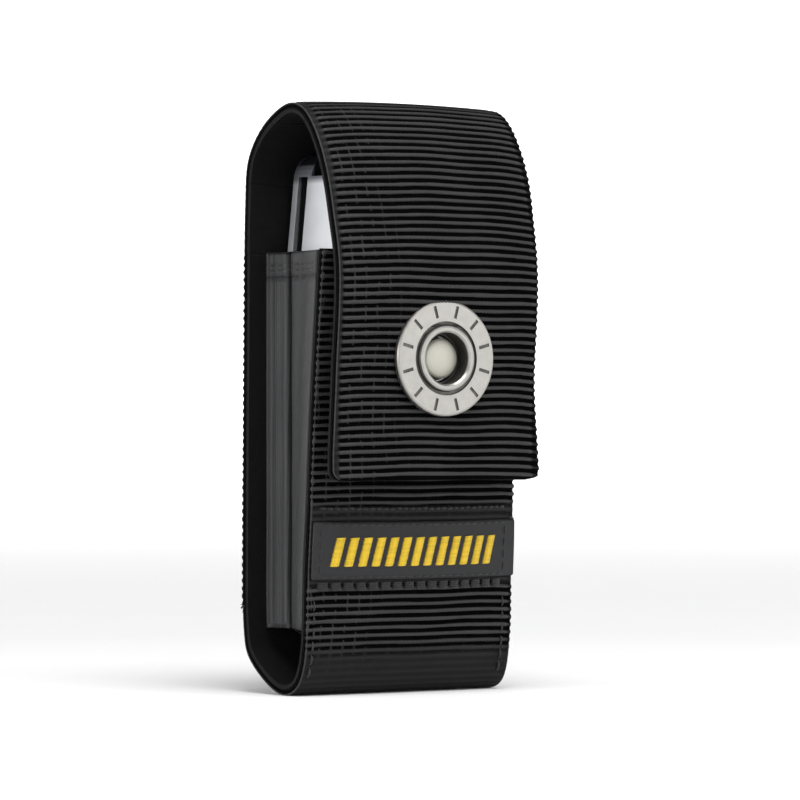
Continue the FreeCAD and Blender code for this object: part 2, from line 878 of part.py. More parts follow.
def make_plier_jaw(side, back, front, disc_back, disc_front):
    """One plier half: leg on the given side, jaw on the other side."""
    full_back = channel_start + layer_clearance
    full_front = channel_end - layer_clearance
    pivot_x = side * handle_pivot_offset
    rise = handle_pivot_height - plier_pivot_height
    length = math.hypot(handle_pivot_offset, rise)
    across_x = side * rise / length
    across_z = handle_pivot_offset / length
    half = leg_half_width
    gap = 0.5 * jaw_gap
    leg = [
        (pivot_x + across_x * half, handle_pivot_height + across_z * half),
        (pivot_x - across_x * half, handle_pivot_height - across_z * half),
        (-across_x * half, plier_pivot_height - across_z * half),
        (across_x * half, plier_pivot_height + across_z * half),
    ]
    solid = tool_plate(leg, full_back, full_front)
    eye = tool_disc(pivot_x, full_back, full_front, handle_pivot_height, leg_radius)
    solid = solid.fuse(eye)
    wrong_side = [
        (side * gap, jaw_tip_height - 20),
        (side * gap, tool_length + 20),
        (-side * 40, tool_length + 20),
        (-side * 40, jaw_tip_height - 20),
    ]
    solid = solid.cut(tool_plate(wrong_side, 0, tool_thickness))
    jaw = [
        (-side * gap, plier_pivot_height),
        (-side * gap, jaw_tip_height),
        (-side * jaw_tip_half_width, jaw_tip_height),
        (-side * (jaw_tip_half_width + 0.6), jaw_tip_height + 6),
        (-side * jaw_root_half_width, plier_pivot_height - 14),
        (-side * jaw_root_half_width, plier_pivot_height),
    ]
    blade = tool_plate(jaw, full_back, full_front)
    taper = 1.9
    for edge_back, edge_front, inner in (
        (full_back, full_back + taper, full_back),
        (full_front - taper, full_front, full_front),
    ):
        wedge_points = []
        near = world(-20, tool_back_depth + inner, tool_bottom_height + jaw_tip_height + 26)
        low = world(-20, tool_back_depth + inner, tool_bottom_height + jaw_tip_height - 1)
        deep = edge_front if inner == full_back else edge_back
        far = world(-20, tool_back_depth + deep, tool_bottom_height + jaw_tip_height - 1)
        wedge_points = [near, low, far, near]
        wedge = Part.Face(Part.makePolygon(wedge_points)).extrude(Vector(40, 0, 0))
        blade = blade.cut(wedge)
    solid = solid.fuse(blade)
    clear = tool_disc(0, 0, tool_thickness, plier_pivot_height, jaw_disc_radius + disc_clearance)
    solid = solid.cut(clear)
    ring = tool_disc(0, disc_back, disc_front, plier_pivot_height, jaw_disc_radius + disc_clearance)
    inner_leg = tool_plate(leg, disc_back, disc_front).common(ring)
    inner_jaw = tool_plate(jaw, disc_back, disc_front).common(ring)
    eye = tool_disc(0, disc_back, disc_front, plier_pivot_height, jaw_disc_radius)
    solid = solid.fuse(inner_leg).fuse(inner_jaw).fuse(eye)
    small = 0.5 * pivot_pin_diameter + pin_clearance
    big = 0.5 * plier_pin_diameter + pin_clearance
    solid = solid.cut(tool_disc(pivot_x, 0, tool_thickness, handle_pivot_height, small))
    solid = solid.cut(tool_disc(0, 0, tool_thickness, plier_pivot_height, big))
    return solid


def make_plier_jaw_left():
    middle = 0.5 * (channel_start + channel_end)
    return make_plier_jaw(-1, 0, 0, channel_start + layer_clearance, middle - 0.05)


def make_plier_jaw_right():
    middle = 0.5 * (channel_start + channel_end)
    return make_plier_jaw(1, 0, 0, middle + 0.05, channel_end - layer_clearance)


def make_plier_pivot_pin():
    back = channel_start + layer_clearance
    front = channel_end - layer_clearance
    return tool_disc(0, back, front, plier_pivot_height, 0.5 * plier_pin_diameter)


channel_room = channel_end - channel_start
implement_thickness = (channel_room - 4 * implement_gap) / 3.0


def implement_layer(index):
    back = channel_start + implement_gap + index * (implement_thickness + implement_gap)
    return back, back + implement_thickness


def implement(outline, back, front):
    """Flat implement on the left axle with a round head and a running hole."""
    body = tool_plate(outline, back, front)
    head = tool_disc(-axle_offset, back, front, axle_height, implement_head_radius)
    body = body.fuse(head)
    hole = 0.5 * axle_diameter + pin_clearance
    return body.cut(tool_disc(-axle_offset, back - 1, front + 1, axle_height, hole))


def bevel_edge(body, x, low, high, back, front):
    """Grind a long bevel on both faces along the edge at x."""
    middle = 0.5 * (back + front)
    for face in (back, front):
        step = 0.15 if face == back else -0.15
        corners = [
            world(x - 0.3, tool_back_depth + face - step, tool_bottom_height + low),
            world(x + 3.6, tool_back_depth + face - step, tool_bottom_height + low),
            world(x - 0.3, tool_back_depth + middle - step, tool_bottom_height + low),
        ]
        corners.append(corners[0])
        wedge = Part.Face(Part.makePolygon(corners)).extrude(Vector(0, 0, high - low))
        body = body.cut(wedge)
    return body


outer_limit = -(half_tool - outer_web - 0.4)
inner_limit = -(handle_pivot_offset + 0.4)


def make_knife_blade():
    back = knife_slot_start + 0.5 * (knife_slot - knife_thickness)
    front = back + knife_thickness
    edge = -(half_tool - 1.2)
    spine = -(slot_floor_offset + 0.6)
    top = axle_height + knife_length
    outline = [(spine, axle_height), (spine, top - 16)]
    outline.extend([(spine - 1.2, top - 7), (spine - 3.6, top)])
    outline.extend([(edge + 2.4, top - 12), (edge, top - 26), (edge, axle_height + 12)])
    outline.append((edge + 2.2, axle_height + 8))
    outline.append((-axle_offset - 3.4, axle_height))
    blade = implement(outline, back, front)
    return bevel_edge(blade, edge, axle_height + 12, top - 20, back, front)


def make_saw_blade():
    back = knife_slot_start + 0.5 * (knife_slot - knife_thickness)
    front = back + knife_thickness
    edge = -(half_tool - 1.4)
    spine = -(slot_floor_offset + 0.6)
    top = axle_height + saw_length
    outline = [(spine, axle_height), (spine, top - 2), (spine - 1.4, top), (edge + 3.0, top)]
    tooth = 2.4
    height = top - 1.2
    while height > axle_height + 12:
        outline.append((edge + 1.4, height))
        outline.append((edge, height - 0.5 * tooth))
        height -= tooth
    outline.append((edge + 2.2, height))
    outline.append((-axle_offset - 3.4, axle_height))
    return mirrored(implement(outline, back, front))


def driver_outline(length, shank, tip, shoulder):
    centre = 0.5 * (outer_limit + inner_limit)
    top = axle_height + length
    return [
        (centre + 0.5 * shank, axle_height),
        (centre + 0.5 * shank, top - shoulder),
        (centre + 0.5 * tip, top - 0.6 * shoulder),
        (centre + 0.5 * tip, top),
        (centre - 0.5 * tip, top),
        (centre - 0.5 * tip, top - 0.6 * shoulder),
        (centre - 0.5 * shank, top - shoulder),
        (centre - 0.5 * shank, axle_height),
    ]


def make_large_screwdriver():
    back, front = implement_layer(0)
    return implement(driver_outline(38.0, 6.0, 5.6, 6.0), back, front)


def make_small_screwdriver():
    back, front = implement_layer(1)
    return implement(driver_outline(33.0, 5.6, 2.8, 8.0), back, front)


def make_can_opener():
    back, front = implement_layer(2)
    top = axle_height + 32.0
    outline = [
        (inner_limit, axle_height),
        (inner_limit, top - 6),
        (inner_limit - 1.8, top),
        (outer_limit + 0.4, top),
        (outer_limit + 0.2, top - 7),
        (outer_limit + 2.4, top - 10),
        (outer_limit + 2.4, top - 14),
        (outer_limit + 0.4, top - 16),
        (outer_limit + 0.4, axle_height + 3),
        (-axle_offset - 3.0, axle_height),
    ]
    return implement(outline, back, front)


def make_phillips_driver():
    back, front = implement_layer(0)
    outline = driver_outline(39.0, 5.6, 2.6, 5.0)
    return mirrored(implement(outline, back, front))


def make_bottle_opener():
    back, front = implement_layer(1)
    top = axle_height + 30.0
    outline = [
        (inner_limit, axle_height),
        (inner_limit, top - 4),
        (inner_limit - 2.0, top),
        (outer_limit + 0.8, top - 1),
        (outer_limit + 0.4, top - 5),
        (outer_limit + 3.0, top - 6),
        (outer_limit + 3.2, top - 11),
        (outer_limit + 0.4, top - 13),
        (outer_limit + 0.4, axle_height + 3),
        (-axle_offset - 3.0, axle_height),
    ]
    return mirrored(implement(outline, back, front))


def make_awl():
    back, front = implement_layer(2)
    top = axle_height + 36.0
    centre = 0.5 * (outer_limit + inner_limit)
    outline = [
        (inner_limit, axle_height),
        (inner_limit, axle_height + 12),
        (centre + 0.3, top),
        (centre - 0.3, top),
        (outer_limit + 0.4, axle_height + 10),
        (outer_limit + 0.4, axle_height + 3),
        (-axle_offset - 3.0, axle_height),
    ]
    return mirrored(implement(outline, back, front))


# ---------------------------------------------------------------------------
# build everything
# ---------------------------------------------------------------------------
gusset_left = make_gusset_left()
handle_left = make_handle_left()
handle_pin_left = make_handle_pivot_pin_left()
axle_left = make_implement_axle_left()

nodes = {
    "sheath_back": make_sheath_back(),
    "sheath_bottom": make_sheath_bottom(),
    "sheath_front": make_sheath_front(),
    "sheath_lining": make_sheath_lining(),
    "gusset_left": gusset_left,
    "gusset_right": mirrored(gusset_left),
    "label_band": make_label_band(),
    "belt_loop": make_belt_loop(),
    "flap_rear": make_flap_rear(),
    "flap_top": make_flap_top(),
    "flap_brow": make_flap_brow(),
    "flap_front": make_flap_front(),
    "flap_lining": make_flap_lining(),
    "snap_ring": make_snap_ring(),
    "snap_eyelet": make_snap_eyelet(),
    "snap_socket": make_snap_socket(),
    "snap_spring": make_snap_spring(),
    "snap_stud": make_snap_stud(),
    "stud_rivet": make_stud_rivet(),
    "handle_left": handle_left,
    "handle_right": mirrored(handle_left),
    "handle_pivot_pin_left": handle_pin_left,
    "handle_pivot_pin_right": mirrored(handle_pin_left),
    "plier_jaw_left": make_plier_jaw_left(),
    "plier_jaw_right": make_plier_jaw_right(),
    "plier_pivot_pin": make_plier_pivot_pin(),
    "implement_axle_left": axle_left,
    "implement_axle_right": mirrored(axle_left),
    "knife_blade": make_knife_blade(),
    "saw_blade": make_saw_blade(),
    "large_screwdriver": make_large_screwdriver(),
    "small_screwdriver": make_small_screwdriver(),
    "can_opener": make_can_opener(),
    "phillips_driver": make_phillips_driver(),
    "bottle_opener": make_bottle_opener(),
    "awl": make_awl(),
}

for node_name, node_solid in nodes.items():
    save(node_name, node_solid)

print("hinge", 0.0, flap_hinge_height)
for parameter in bend_parameters:
    point, outward = curve_place(flap_curve, parameter)
    edge = point + outward * (flap_rise(parameter) + 0.05)
    print("bend", round(depth_shift - edge.y, 3), round(edge.z, 3))
print("depth_shift", round(depth_shift, 4))
print("snap faces", round(ring_front_depth, 3), round(flap_inner_depth, 3), round(front_face_depth, 3))
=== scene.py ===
"""Looks for a belt sheath holding a closed multi tool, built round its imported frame."""
import json
import math

import bmesh
import bpy
import numpy as np
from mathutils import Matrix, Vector

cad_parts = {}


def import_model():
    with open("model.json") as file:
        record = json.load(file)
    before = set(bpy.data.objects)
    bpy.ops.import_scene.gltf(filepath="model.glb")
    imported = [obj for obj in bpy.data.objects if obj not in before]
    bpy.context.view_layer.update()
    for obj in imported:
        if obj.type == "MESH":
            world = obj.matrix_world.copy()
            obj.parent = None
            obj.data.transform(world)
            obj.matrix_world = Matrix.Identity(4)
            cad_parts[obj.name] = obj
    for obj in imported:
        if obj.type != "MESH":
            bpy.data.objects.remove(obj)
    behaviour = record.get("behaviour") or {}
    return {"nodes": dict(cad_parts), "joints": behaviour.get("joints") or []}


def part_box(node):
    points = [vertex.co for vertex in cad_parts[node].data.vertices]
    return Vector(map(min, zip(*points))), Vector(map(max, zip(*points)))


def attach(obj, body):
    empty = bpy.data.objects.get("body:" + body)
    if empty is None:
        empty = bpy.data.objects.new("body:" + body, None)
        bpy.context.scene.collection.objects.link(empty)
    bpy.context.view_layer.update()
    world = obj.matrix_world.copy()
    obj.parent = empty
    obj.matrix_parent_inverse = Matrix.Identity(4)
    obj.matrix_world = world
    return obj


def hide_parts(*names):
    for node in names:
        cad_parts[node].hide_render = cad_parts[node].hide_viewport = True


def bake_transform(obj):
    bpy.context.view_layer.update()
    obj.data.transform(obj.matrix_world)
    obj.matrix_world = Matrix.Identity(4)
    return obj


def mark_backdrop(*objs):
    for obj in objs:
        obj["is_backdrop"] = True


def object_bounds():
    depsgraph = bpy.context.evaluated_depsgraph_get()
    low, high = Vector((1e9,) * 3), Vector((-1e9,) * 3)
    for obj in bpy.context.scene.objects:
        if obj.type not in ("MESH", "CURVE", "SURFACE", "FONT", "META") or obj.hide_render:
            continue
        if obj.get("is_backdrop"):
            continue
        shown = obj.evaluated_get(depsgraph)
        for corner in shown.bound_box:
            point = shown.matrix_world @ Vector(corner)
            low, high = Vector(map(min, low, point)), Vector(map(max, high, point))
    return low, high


bl_info = {
    "name": "Belt sheath with multi tool",
    "version": (1, 0, 0),
    "blender": (4, 5, 0),
    "location": "View3D > Sidebar > Sheath",
    "description": "Ribbed webbing sheath with folded sides, a snap flap and a closed multi tool",
    "category": "Object",
}

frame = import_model()
cad_low, cad_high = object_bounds()
MM = 0.001


# ---------------------------------------------------------------------------
# places taken from the frame, in millimetres
# ---------------------------------------------------------------------------
def node_box(name):
    """Lowest and highest corner of a frame node."""
    low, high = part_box(name)
    return np.array(low) / MM, np.array(high) / MM


def joint_place(name):
    """Point on a joint's axis."""
    for joint in frame["joints"]:
        if joint["name"] == name:
            return np.array(joint["pos_m"]) / MM
    raise ValueError("the frame has no joint named " + name)


BACK_Y = node_box("sheath_back")[1][1]
BACK_HALF = node_box("sheath_back")[1][0]
FLAP_HALF = node_box("flap_front")[1][0]
FRONT_HALF = node_box("sheath_front")[1][0]
MOUTH = node_box("gusset_left")[1][2]
GUSSET_LOW = node_box("gusset_left")[0][2]
LABEL_LOW = node_box("label_band")[0][2]
LABEL_HIGH = node_box("label_band")[1][2]
TOOL_BOX = node_box("handle_right")
TOOL_HALF = TOOL_BOX[1][0]
HINGE_Z = joint_place("flap_open")[2]
SNAP_RING = node_box("snap_ring")
SNAP_Z = 0.5 * (SNAP_RING[0][2] + SNAP_RING[1][2])
EYELET_RADIUS = 6.12
LOOP_LOW, LOOP_HIGH = node_box("belt_loop")
TOP = cad_high[2] / MM - 0.6

WEBBING = 1.8
LINING = 0.75
LAYER_GAP = 0.08
STRAP = WEBBING + LAYER_GAP + LINING
LINING_MARGIN = 0.25
FLAP_DEPTH = 35.0
POUCH_DEPTH = 29.2
RIB = 0.5
PRESSED_TOP = 0.9
PRESSED_UNDER = 0.9
PITCH = 1.62
WARP_PITCH = 2.74
SQUARENESS = 0.55

FLOOR_RADIUS = 3.5
WALL_HEIGHT = 1.2
CAMERA_TURN = -33.84
CAMERA_AWAY = 0.975
CAMERA_HEIGHT = 0.0606
CAMERA_LENS = 208.8
CAMERA_SHIFT = (0.0151, 0.0122)

# shares of the flap's depth and drops below its top, from the back over to the front edge
ARCH = [
    (0.010, 12.0), (0.069, 7.8), (0.180, 3.9), (0.309, 1.3), (0.460, 0.0), (0.597, 1.3),
    (0.697, 4.4), (0.766, 7.8), (0.823, 11.6), (0.883, 17.2), (0.940, 25.2), (0.989, 33.0),
    (1.000, 40.0), (0.986, 48.6), (0.966, 56.6), (0.951, 70.6), (0.954, 78.6),
]
# shares of the pouch's depth and heights, down the front, under and up the back
POUCH = [
    (1.000, 93.5), (0.938, 75.0), (0.877, 55.0), (0.842, 40.0), (0.802, 25.0), (0.788, 14.0),
    (0.760, 7.6), (0.668, 1.8), (0.486, 0.0), (0.400, 0.6), (0.298, 2.0), (0.202, 3.9),
    (0.110, 6.4), (0.034, 10.0), (0.014, 13.0), (0.0, 20.0), (0.0, 30.0), (0.0, 60.0), (0.0, 96.0),
]


# ---------------------------------------------------------------------------
# curves and unevenness
# ---------------------------------------------------------------------------
def even_path(points, spacing=0.1):
    """The same line with points at even lengths."""
    points = np.array(points, float)
    steps = np.linalg.norm(np.diff(points, axis=0), axis=1)
    lengths = np.concatenate([[0.0], np.cumsum(steps)])
    wanted = np.arange(0.0, lengths[-1], spacing)
    return np.stack([np.interp(wanted, lengths, points[:, k]) for k in range(points.shape[1])], 1)


def smooth_path(points):
    """Smooth line through points, with its ends free."""
    points = np.array(points, float)
    knots = np.concatenate([[0.0], np.cumsum(np.linalg.norm(np.diff(points, axis=0), axis=1))])
    count = len(points)
    system = np.zeros((count, count))
    right = np.zeros(points.shape)
    system[0, 0] = 1.0
    system[-1, -1] = 1.0
    for i in range(1, count - 1):
        before = knots[i] - knots[i - 1]
        after = knots[i + 1] - knots[i]
        system[i, i - 1:i + 2] = before, 2.0 * (before + after), after
        slope = (points[i + 1] - points[i]) / after - (points[i] - points[i - 1]) / before
        right[i] = 6.0 * slope
    bend = np.linalg.solve(system, right)
    pieces = []
    for i in range(count - 1):
        width = knots[i + 1] - knots[i]
        t = np.linspace(0.0, 1.0, 40, endpoint=False)[:, None]
        a = 1.0 - t
        curve = (a**3 - a) * bend[i] + (t**3 - t) * bend[i + 1]
        pieces.append(a * points[i] + t * points[i + 1] + curve * width**2 / 6.0)
    pieces.append(points[-1:])
    return even_path(np.vstack(pieces))


def softened_path(points, blur):
    """Straight runs joined by soft corners."""
    path = even_path(points)
    reach = int(40 * blur)
    window = np.exp(-0.5 * (np.arange(-reach, reach + 1) * 0.1 / blur) ** 2)
    window /= window.sum()
    steps = np.arange(1, reach + 1)[:, None]
    before = path[0] + (path[0] - path[1]) * steps[::-1]
    after = path[-1] + (path[-1] - path[-2]) * steps
    padded = np.vstack([before, path, after])
    return np.stack([np.convolve(padded[:, k], window, "valid") for k in (0, 1)], 1)


class Profile:
    """Side line of a strap's outer face in (depth, height), looked up by length."""

    def __init__(self, points):
        self.points = points
        tangent = np.gradient(points, axis=0)
        tangent /= np.linalg.norm(tangent, axis=1)[:, None]
        self.outward = np.stack([-tangent[:, 1], tangent[:, 0]], 1)
        self.length = (len(points) - 1) * 0.1

    def at(self, s):
        """Depth, height and the two parts of the outward direction."""
        place = np.clip(np.asarray(s, float) * 10.0, 0, len(self.points) - 1)
        index = np.arange(len(self.points))
        table = np.hstack([self.points, self.outward])
        return [np.interp(place, index, table[:, k]) for k in range(4)]

    def nearest(self, depth, height):
        gap = np.hypot(self.points[:, 0] - depth, self.points[:, 1] - height)
        return float(np.argmin(gap)) * 0.1

    def surface(self, s, x, crown, out):
        """Points over the outer face."""
        depth, height, out_depth, out_height = self.at(s)
        offset = crown + out
        return world(x, depth + out_depth * offset, height + out_height * offset)


def ease(value, start, end):
    share = np.clip((np.asarray(value, float) - start) / (end - start), 0.0, 1.0)
    return share * share * (3.0 - 2.0 * share)


def waves(a, b, seed, count=6, longest=30.0, shortest=7.0):
    """Smooth repeatable unevenness, mostly from -1 to 1."""
    source = np.random.default_rng(seed)
    total = 0.0
    for i in range(count):
        size = longest * (shortest / longest) ** (i / max(count - 1, 1))
        angle = source.uniform(0, math.pi)
        phase = source.uniform(0, 2 * math.pi)
        total = total + np.sin(2 * math.pi * (a * math.cos(angle) + b * math.sin(angle)) / size + phase)
    return total / math.sqrt(count)


def scatter(index, seed):
    """Repeatable number from 0 to 1 for each whole number."""
    value = np.sin(np.asarray(index, float) * 12.9898 + seed * 78.233) * 43758.5453
    return value - np.floor(value)


def world(x, depth, height):
    return np.stack(np.broadcast_arrays(x, BACK_Y - depth, height), -1) * MM


# ---------------------------------------------------------------------------
# meshes
# ---------------------------------------------------------------------------
def mesh_piece(name, points, face_sets, along=None, smooth=True):
    """New object from points and groups of same-sided faces."""
    mesh = bpy.data.meshes.new(name)
    points = np.asarray(points, np.float32).reshape(-1, 3)
    corners = np.concatenate([np.asarray(f, np.int32).ravel() for f in face_sets])
    sizes = np.concatenate([np.full(len(f), np.asarray(f).shape[1], np.int32) for f in face_sets])
    starts = np.concatenate([[0], np.cumsum(sizes)[:-1]]).astype(np.int32)
    mesh.vertices.add(len(points))
    mesh.vertices.foreach_set("co", points.ravel())
    mesh.loops.add(len(corners))
    mesh.loops.foreach_set("vertex_index", corners)
    mesh.polygons.add(len(sizes))
    mesh.polygons.foreach_set("loop_start", starts)
    mesh.polygons.foreach_set("loop_total", sizes)
    mesh.polygons.foreach_set("use_smooth", np.full(len(sizes), smooth))
    mesh.update(calc_edges=True)
    if along is not None:
        layer = mesh.attributes.new("along", "FLOAT_VECTOR", "POINT")
        layer.data.foreach_set("vector", np.asarray(along, np.float32).ravel())
    piece = bpy.data.objects.new(name, mesh)
    bpy.context.scene.collection.objects.link(piece)
    return piece


def tube_piece(name, grid, along):
    """Closed skin over rows of loops, with a fan over each end."""
    rows, loop = grid.shape[:2]
    i, j = np.meshgrid(np.arange(rows - 1), np.arange(loop), indexing="ij")
    k = (j + 1) % loop
    sides = np.stack([i * loop + j, i * loop + k, (i + 1) * loop + k, (i + 1) * loop + j], -1)
    count = rows * loop
    ring = np.arange(loop)
    after = (ring + 1) % loop
    last = (rows - 1) * loop
    first_fan = np.stack([np.full(loop, count), after, ring], 1)
    last_fan = np.stack([np.full(loop, count + 1), last + ring, last + after], 1)
    points = np.vstack([grid.reshape(-1, 3), grid[0].mean(0), grid[-1].mean(0)])
    along = np.vstack([along.reshape(-1, 3), along[0].mean(0), along[-1].mean(0)])
    return mesh_piece(name, points, [sides.reshape(-1, 4), first_fan, last_fan], along)


def strap_piece(name, profile, start, end, half, rise, top, thick, ribs=None, step=0.2, wide=0.5,
                margin=0.0, corner=0.0, round_start=False, round_end=False, selvedge=1.0, lean=None):
    """Length of strap: outer face, rounded edges and inner face."""
    rows = max(int(round((end - start) / step)) + 1, 4)
    s = np.linspace(start, end, rows)[:, None]
    edge = 0.5 * thick
    full = half(s)
    width = full - margin
    if corner:
        short = np.clip(corner - (end - s), 0.0, corner)
        width = width - (corner - np.sqrt(corner**2 - short**2))
    spare = 0.3 if ribs is not None else 0.0
    flat = width - edge - spare
    slim = np.ones_like(s)
    if round_start:
        slim = slim * np.sqrt(np.clip(1.0 - (1.0 - np.clip((s - start) / edge, 0.06, 1.0)) ** 2, 0, 1))
    if round_end:
        slim = slim * np.sqrt(np.clip(1.0 - (1.0 - np.clip((end - s) / edge, 0.06, 1.0)) ** 2, 0, 1))
    columns = int(2 * full.max() / wide)
    inner = max(columns // 5, 6) if ribs is not None else columns
    turn = np.radians(np.linspace(0, 180, 18)[1:-1])
    side = np.ones(len(turn))
    share = np.concatenate([np.linspace(-1, 1, columns), side, np.linspace(1, -1, inner), -side])
    angle = np.concatenate([np.zeros(columns), turn, np.full(inner, math.pi), 2 * math.pi - turn[::-1]])
    aside = np.sign(np.sin(angle))[None] * np.abs(np.sin(angle))[None] ** SQUARENESS
    outside = np.sign(np.cos(angle))[None] * np.abs(np.cos(angle))[None] ** SQUARENESS
    x = share[None] * flat
    if lean is not None:
        x = x + lean(s) * ease(share[None], -0.4, 1.0)
    height = np.zeros((rows, len(share)))
    lift = 0.0
    if ribs is not None:
        weight = 0.15 + 0.85 * np.clip(outside, 0.0, 1.0) ** 0.7
        weight = np.where(outside < -0.99, 0.0, weight)
        raised, strength = ribs(s, x + aside * edge)
        height = RIB * strength * raised * weight * slim
        # lift carries rib height to the webbing's finish, where it paints highlight on the crowns and shade
        # in the valleys and on the strap's sides.
        lift = np.clip(raised * strength + 0.50 * (1.0 - strength), 0.0, 1.2) * weight
    cord = selvedge * np.exp(-(((np.abs(angle - math.pi) - math.radians(128)) / 0.24) ** 2))[None]
    cord = cord + 0.6 * selvedge * np.exp(-(((np.abs(angle - math.pi) - math.radians(50)) / 0.24) ** 2))[None]
    height = height + 0.16 * cord * slim
    crown = rise(s) * (1.0 - np.clip(x / full, -1, 1) ** 2)
    radius = edge * slim + height
    out = crown - top - edge + outside * radius
    grid = profile.surface(s, x + aside * radius, 0.0, out)
    # The edge cords get painted highlight as well.
    lift = lift + 0.9 * cord
    along = np.stack(np.broadcast_arrays(x + aside * edge, s, lift), -1)
    return tube_piece(name, grid, along)


def thread_piece(name, lines, up, radius):
    """Many short threads as one object. lines is threads by points by 3, in metres."""
    sides = 7
    lines = np.asarray(lines, float)
    count, rows = lines.shape[:2]
    up = np.broadcast_to(np.asarray(up, float), (count, 3))[:, None]
    tangent = np.gradient(lines, axis=1)
    tangent /= np.linalg.norm(tangent, axis=2, keepdims=True)
    aside = np.cross(tangent, up)
    aside /= np.linalg.norm(aside, axis=2, keepdims=True)
    over = np.cross(aside, tangent)
    place = np.linspace(-1.0, 1.0, rows)
    size = np.clip(1.0 - np.abs(place) ** 6, 0.12, 1.0) ** 0.5
    angle = np.arange(sides) * 2 * math.pi / sides
    wide = np.cos(angle)[None, None, :, None] * aside[:, :, None]
    high = np.sin(angle)[None, None, :, None] * over[:, :, None]
    grid = lines[:, :, None] + (wide + high) * (radius * MM * size)[None, :, None, None]
    points = grid.reshape(-1, 3)
    n, i, j = np.meshgrid(np.arange(count), np.arange(rows - 1), np.arange(sides), indexing="ij")
    base = n * rows * sides + i * sides
    k = (j + 1) % sides
    quads = np.stack([base + j, base + j + sides, base + k + sides, base + k], -1).reshape(-1, 4)
    starts = np.arange(count)[:, None] * rows * sides
    first = starts + np.arange(sides)[None]
    last = starts + (rows - 1) * sides + np.arange(sides)[None, ::-1]
    length = np.broadcast_to(np.arange(rows)[None, :, None] * 0.3, grid.shape[:3])
    number = np.broadcast_to(np.arange(count)[:, None, None], grid.shape[:3])
    turn = np.broadcast_to(angle[None, None], grid.shape[:3])
    along = np.stack([turn, length, scatter(number, 3)], -1).reshape(-1, 3)
    return mesh_piece(name, points, [quads, first, last], along)


def punch(piece, radius, height):
    """Round hole through a piece along the depth, with a wall joining its two faces."""
    cut = bmesh.new()
    cut.from_mesh(piece.data)

    def reach(vertex):
        return math.hypot(vertex.co.x, vertex.co.z - height * MM)

    inside = [face for face in cut.faces if min(reach(v) for v in face.verts) < radius * MM]
    bmesh.ops.delete(cut, geom=inside, context="FACES")
    rim = [edge for edge in cut.edges if edge.is_boundary]
    for vertex in {v for edge in rim for v in edge.verts}:
        share = radius * MM / reach(vertex)
        vertex.co.x *= share
        vertex.co.z = height * MM + (vertex.co.z - height * MM) * share
    wall = bmesh.ops.bridge_loops(cut, edges=rim)
    for face in wall["faces"]:
        face.smooth = False
    cut.to_mesh(piece.data)
    cut.free()
    return piece


# ---------------------------------------------------------------------------
# the sheath's own lines
# ---------------------------------------------------------------------------
flap_line = [(0.0, 76.0), (0.0, HINGE_Z), (0.0, HINGE_Z + 9.0)]
for share, drop in ARCH:
    flap_line.append((share * FLAP_DEPTH, TOP - drop - PRESSED_TOP * (1.0 - ease(drop, 6.0, 34.0))))
flap_line += [(ARCH[-1][0] * FLAP_DEPTH + 0.1, TOP - ARCH[-1][1] - 0.9)]
flap = Profile(smooth_path(flap_line))
pouch_line = []
for share, height in POUCH:
    pouch_line.append((share * POUCH_DEPTH, height + PRESSED_UNDER * (1.0 - ease(height, 3.0, 13.0))))
pouch = Profile(smooth_path(pouch_line))


def bend_at(name):
    """Length along the flap nearest to a bend's axis."""
    place = joint_place(name)
    return flap.nearest(BACK_Y - place[1], place[2])


HINGE = bend_at("flap_open")
SHOULDER = bend_at("flap_arch_bend")
CROWN = bend_at("flap_brow_bend")
BROW = bend_at("flap_front_bend")
FLAP_START = flap.nearest(0.0, MOUTH - 0.4)
FLAP_END = flap.length
POUCH_END = pouch.nearest(0.0, MOUTH - 0.4)
FRONT_FOLD = pouch.nearest(0.788 * POUCH_DEPTH, 14.0)
UNDER = pouch.nearest(0.486 * POUCH_DEPTH, 0.0)
BACK_FOLD = pouch.nearest(0.0, 20.0)


def flap_half(s):
    full = BACK_HALF + 0.4
    return full + (FLAP_HALF - full) * ease(s, HINGE, CROWN) + 0.5 * ease(s, FLAP_END - 22.0, FLAP_END)


def flap_rise(s):
    return 0.6 * ease(s, HINGE, CROWN) + 1.4 * ease(s, CROWN, BROW + 14.0)


def pouch_half(s):
    full = BACK_HALF + 0.8 - 0.4 * ease(s, BACK_FOLD + 10.0, POUCH_END)
    return FRONT_HALF + 0.8 + (full - FRONT_HALF - 0.8) * ease(s, FRONT_FOLD, BACK_FOLD)


def pouch_rise(s):
    return 2.4 * (1.0 - ease(s, FRONT_FOLD - 12.0, UNDER))


def flap_lean(s):
    """How far the flap's right edge has worked outwards."""
    shoulder = 0.9 * ease(s, SHOULDER, CROWN) * (1.0 - ease(s, BROW + 4.0, BROW + 26.0))
    return shoulder + 1.1 * ease(s, FLAP_END - 24.0, FLAP_END)


def pouch_lean(s):
    """How far the pouch's right edge has worked outwards low at the front."""
    low = ease(s, front_length(60.0), front_length(28.0))
    return 1.3 * low * (1.0 - ease(s, FRONT_FOLD + 6.0, BACK_FOLD))


def loop_half(s):
    return np.full(np.shape(s), LOOP_HIGH[0])


def level(s):
    return np.zeros(np.shape(s))


def front_length(height):
    """Length along the pouch at a height of its front."""
    front = pouch.points[: int(UNDER * 10)]
    return float(np.interp(-height, -front[:, 1], np.arange(len(front)) * 0.1))


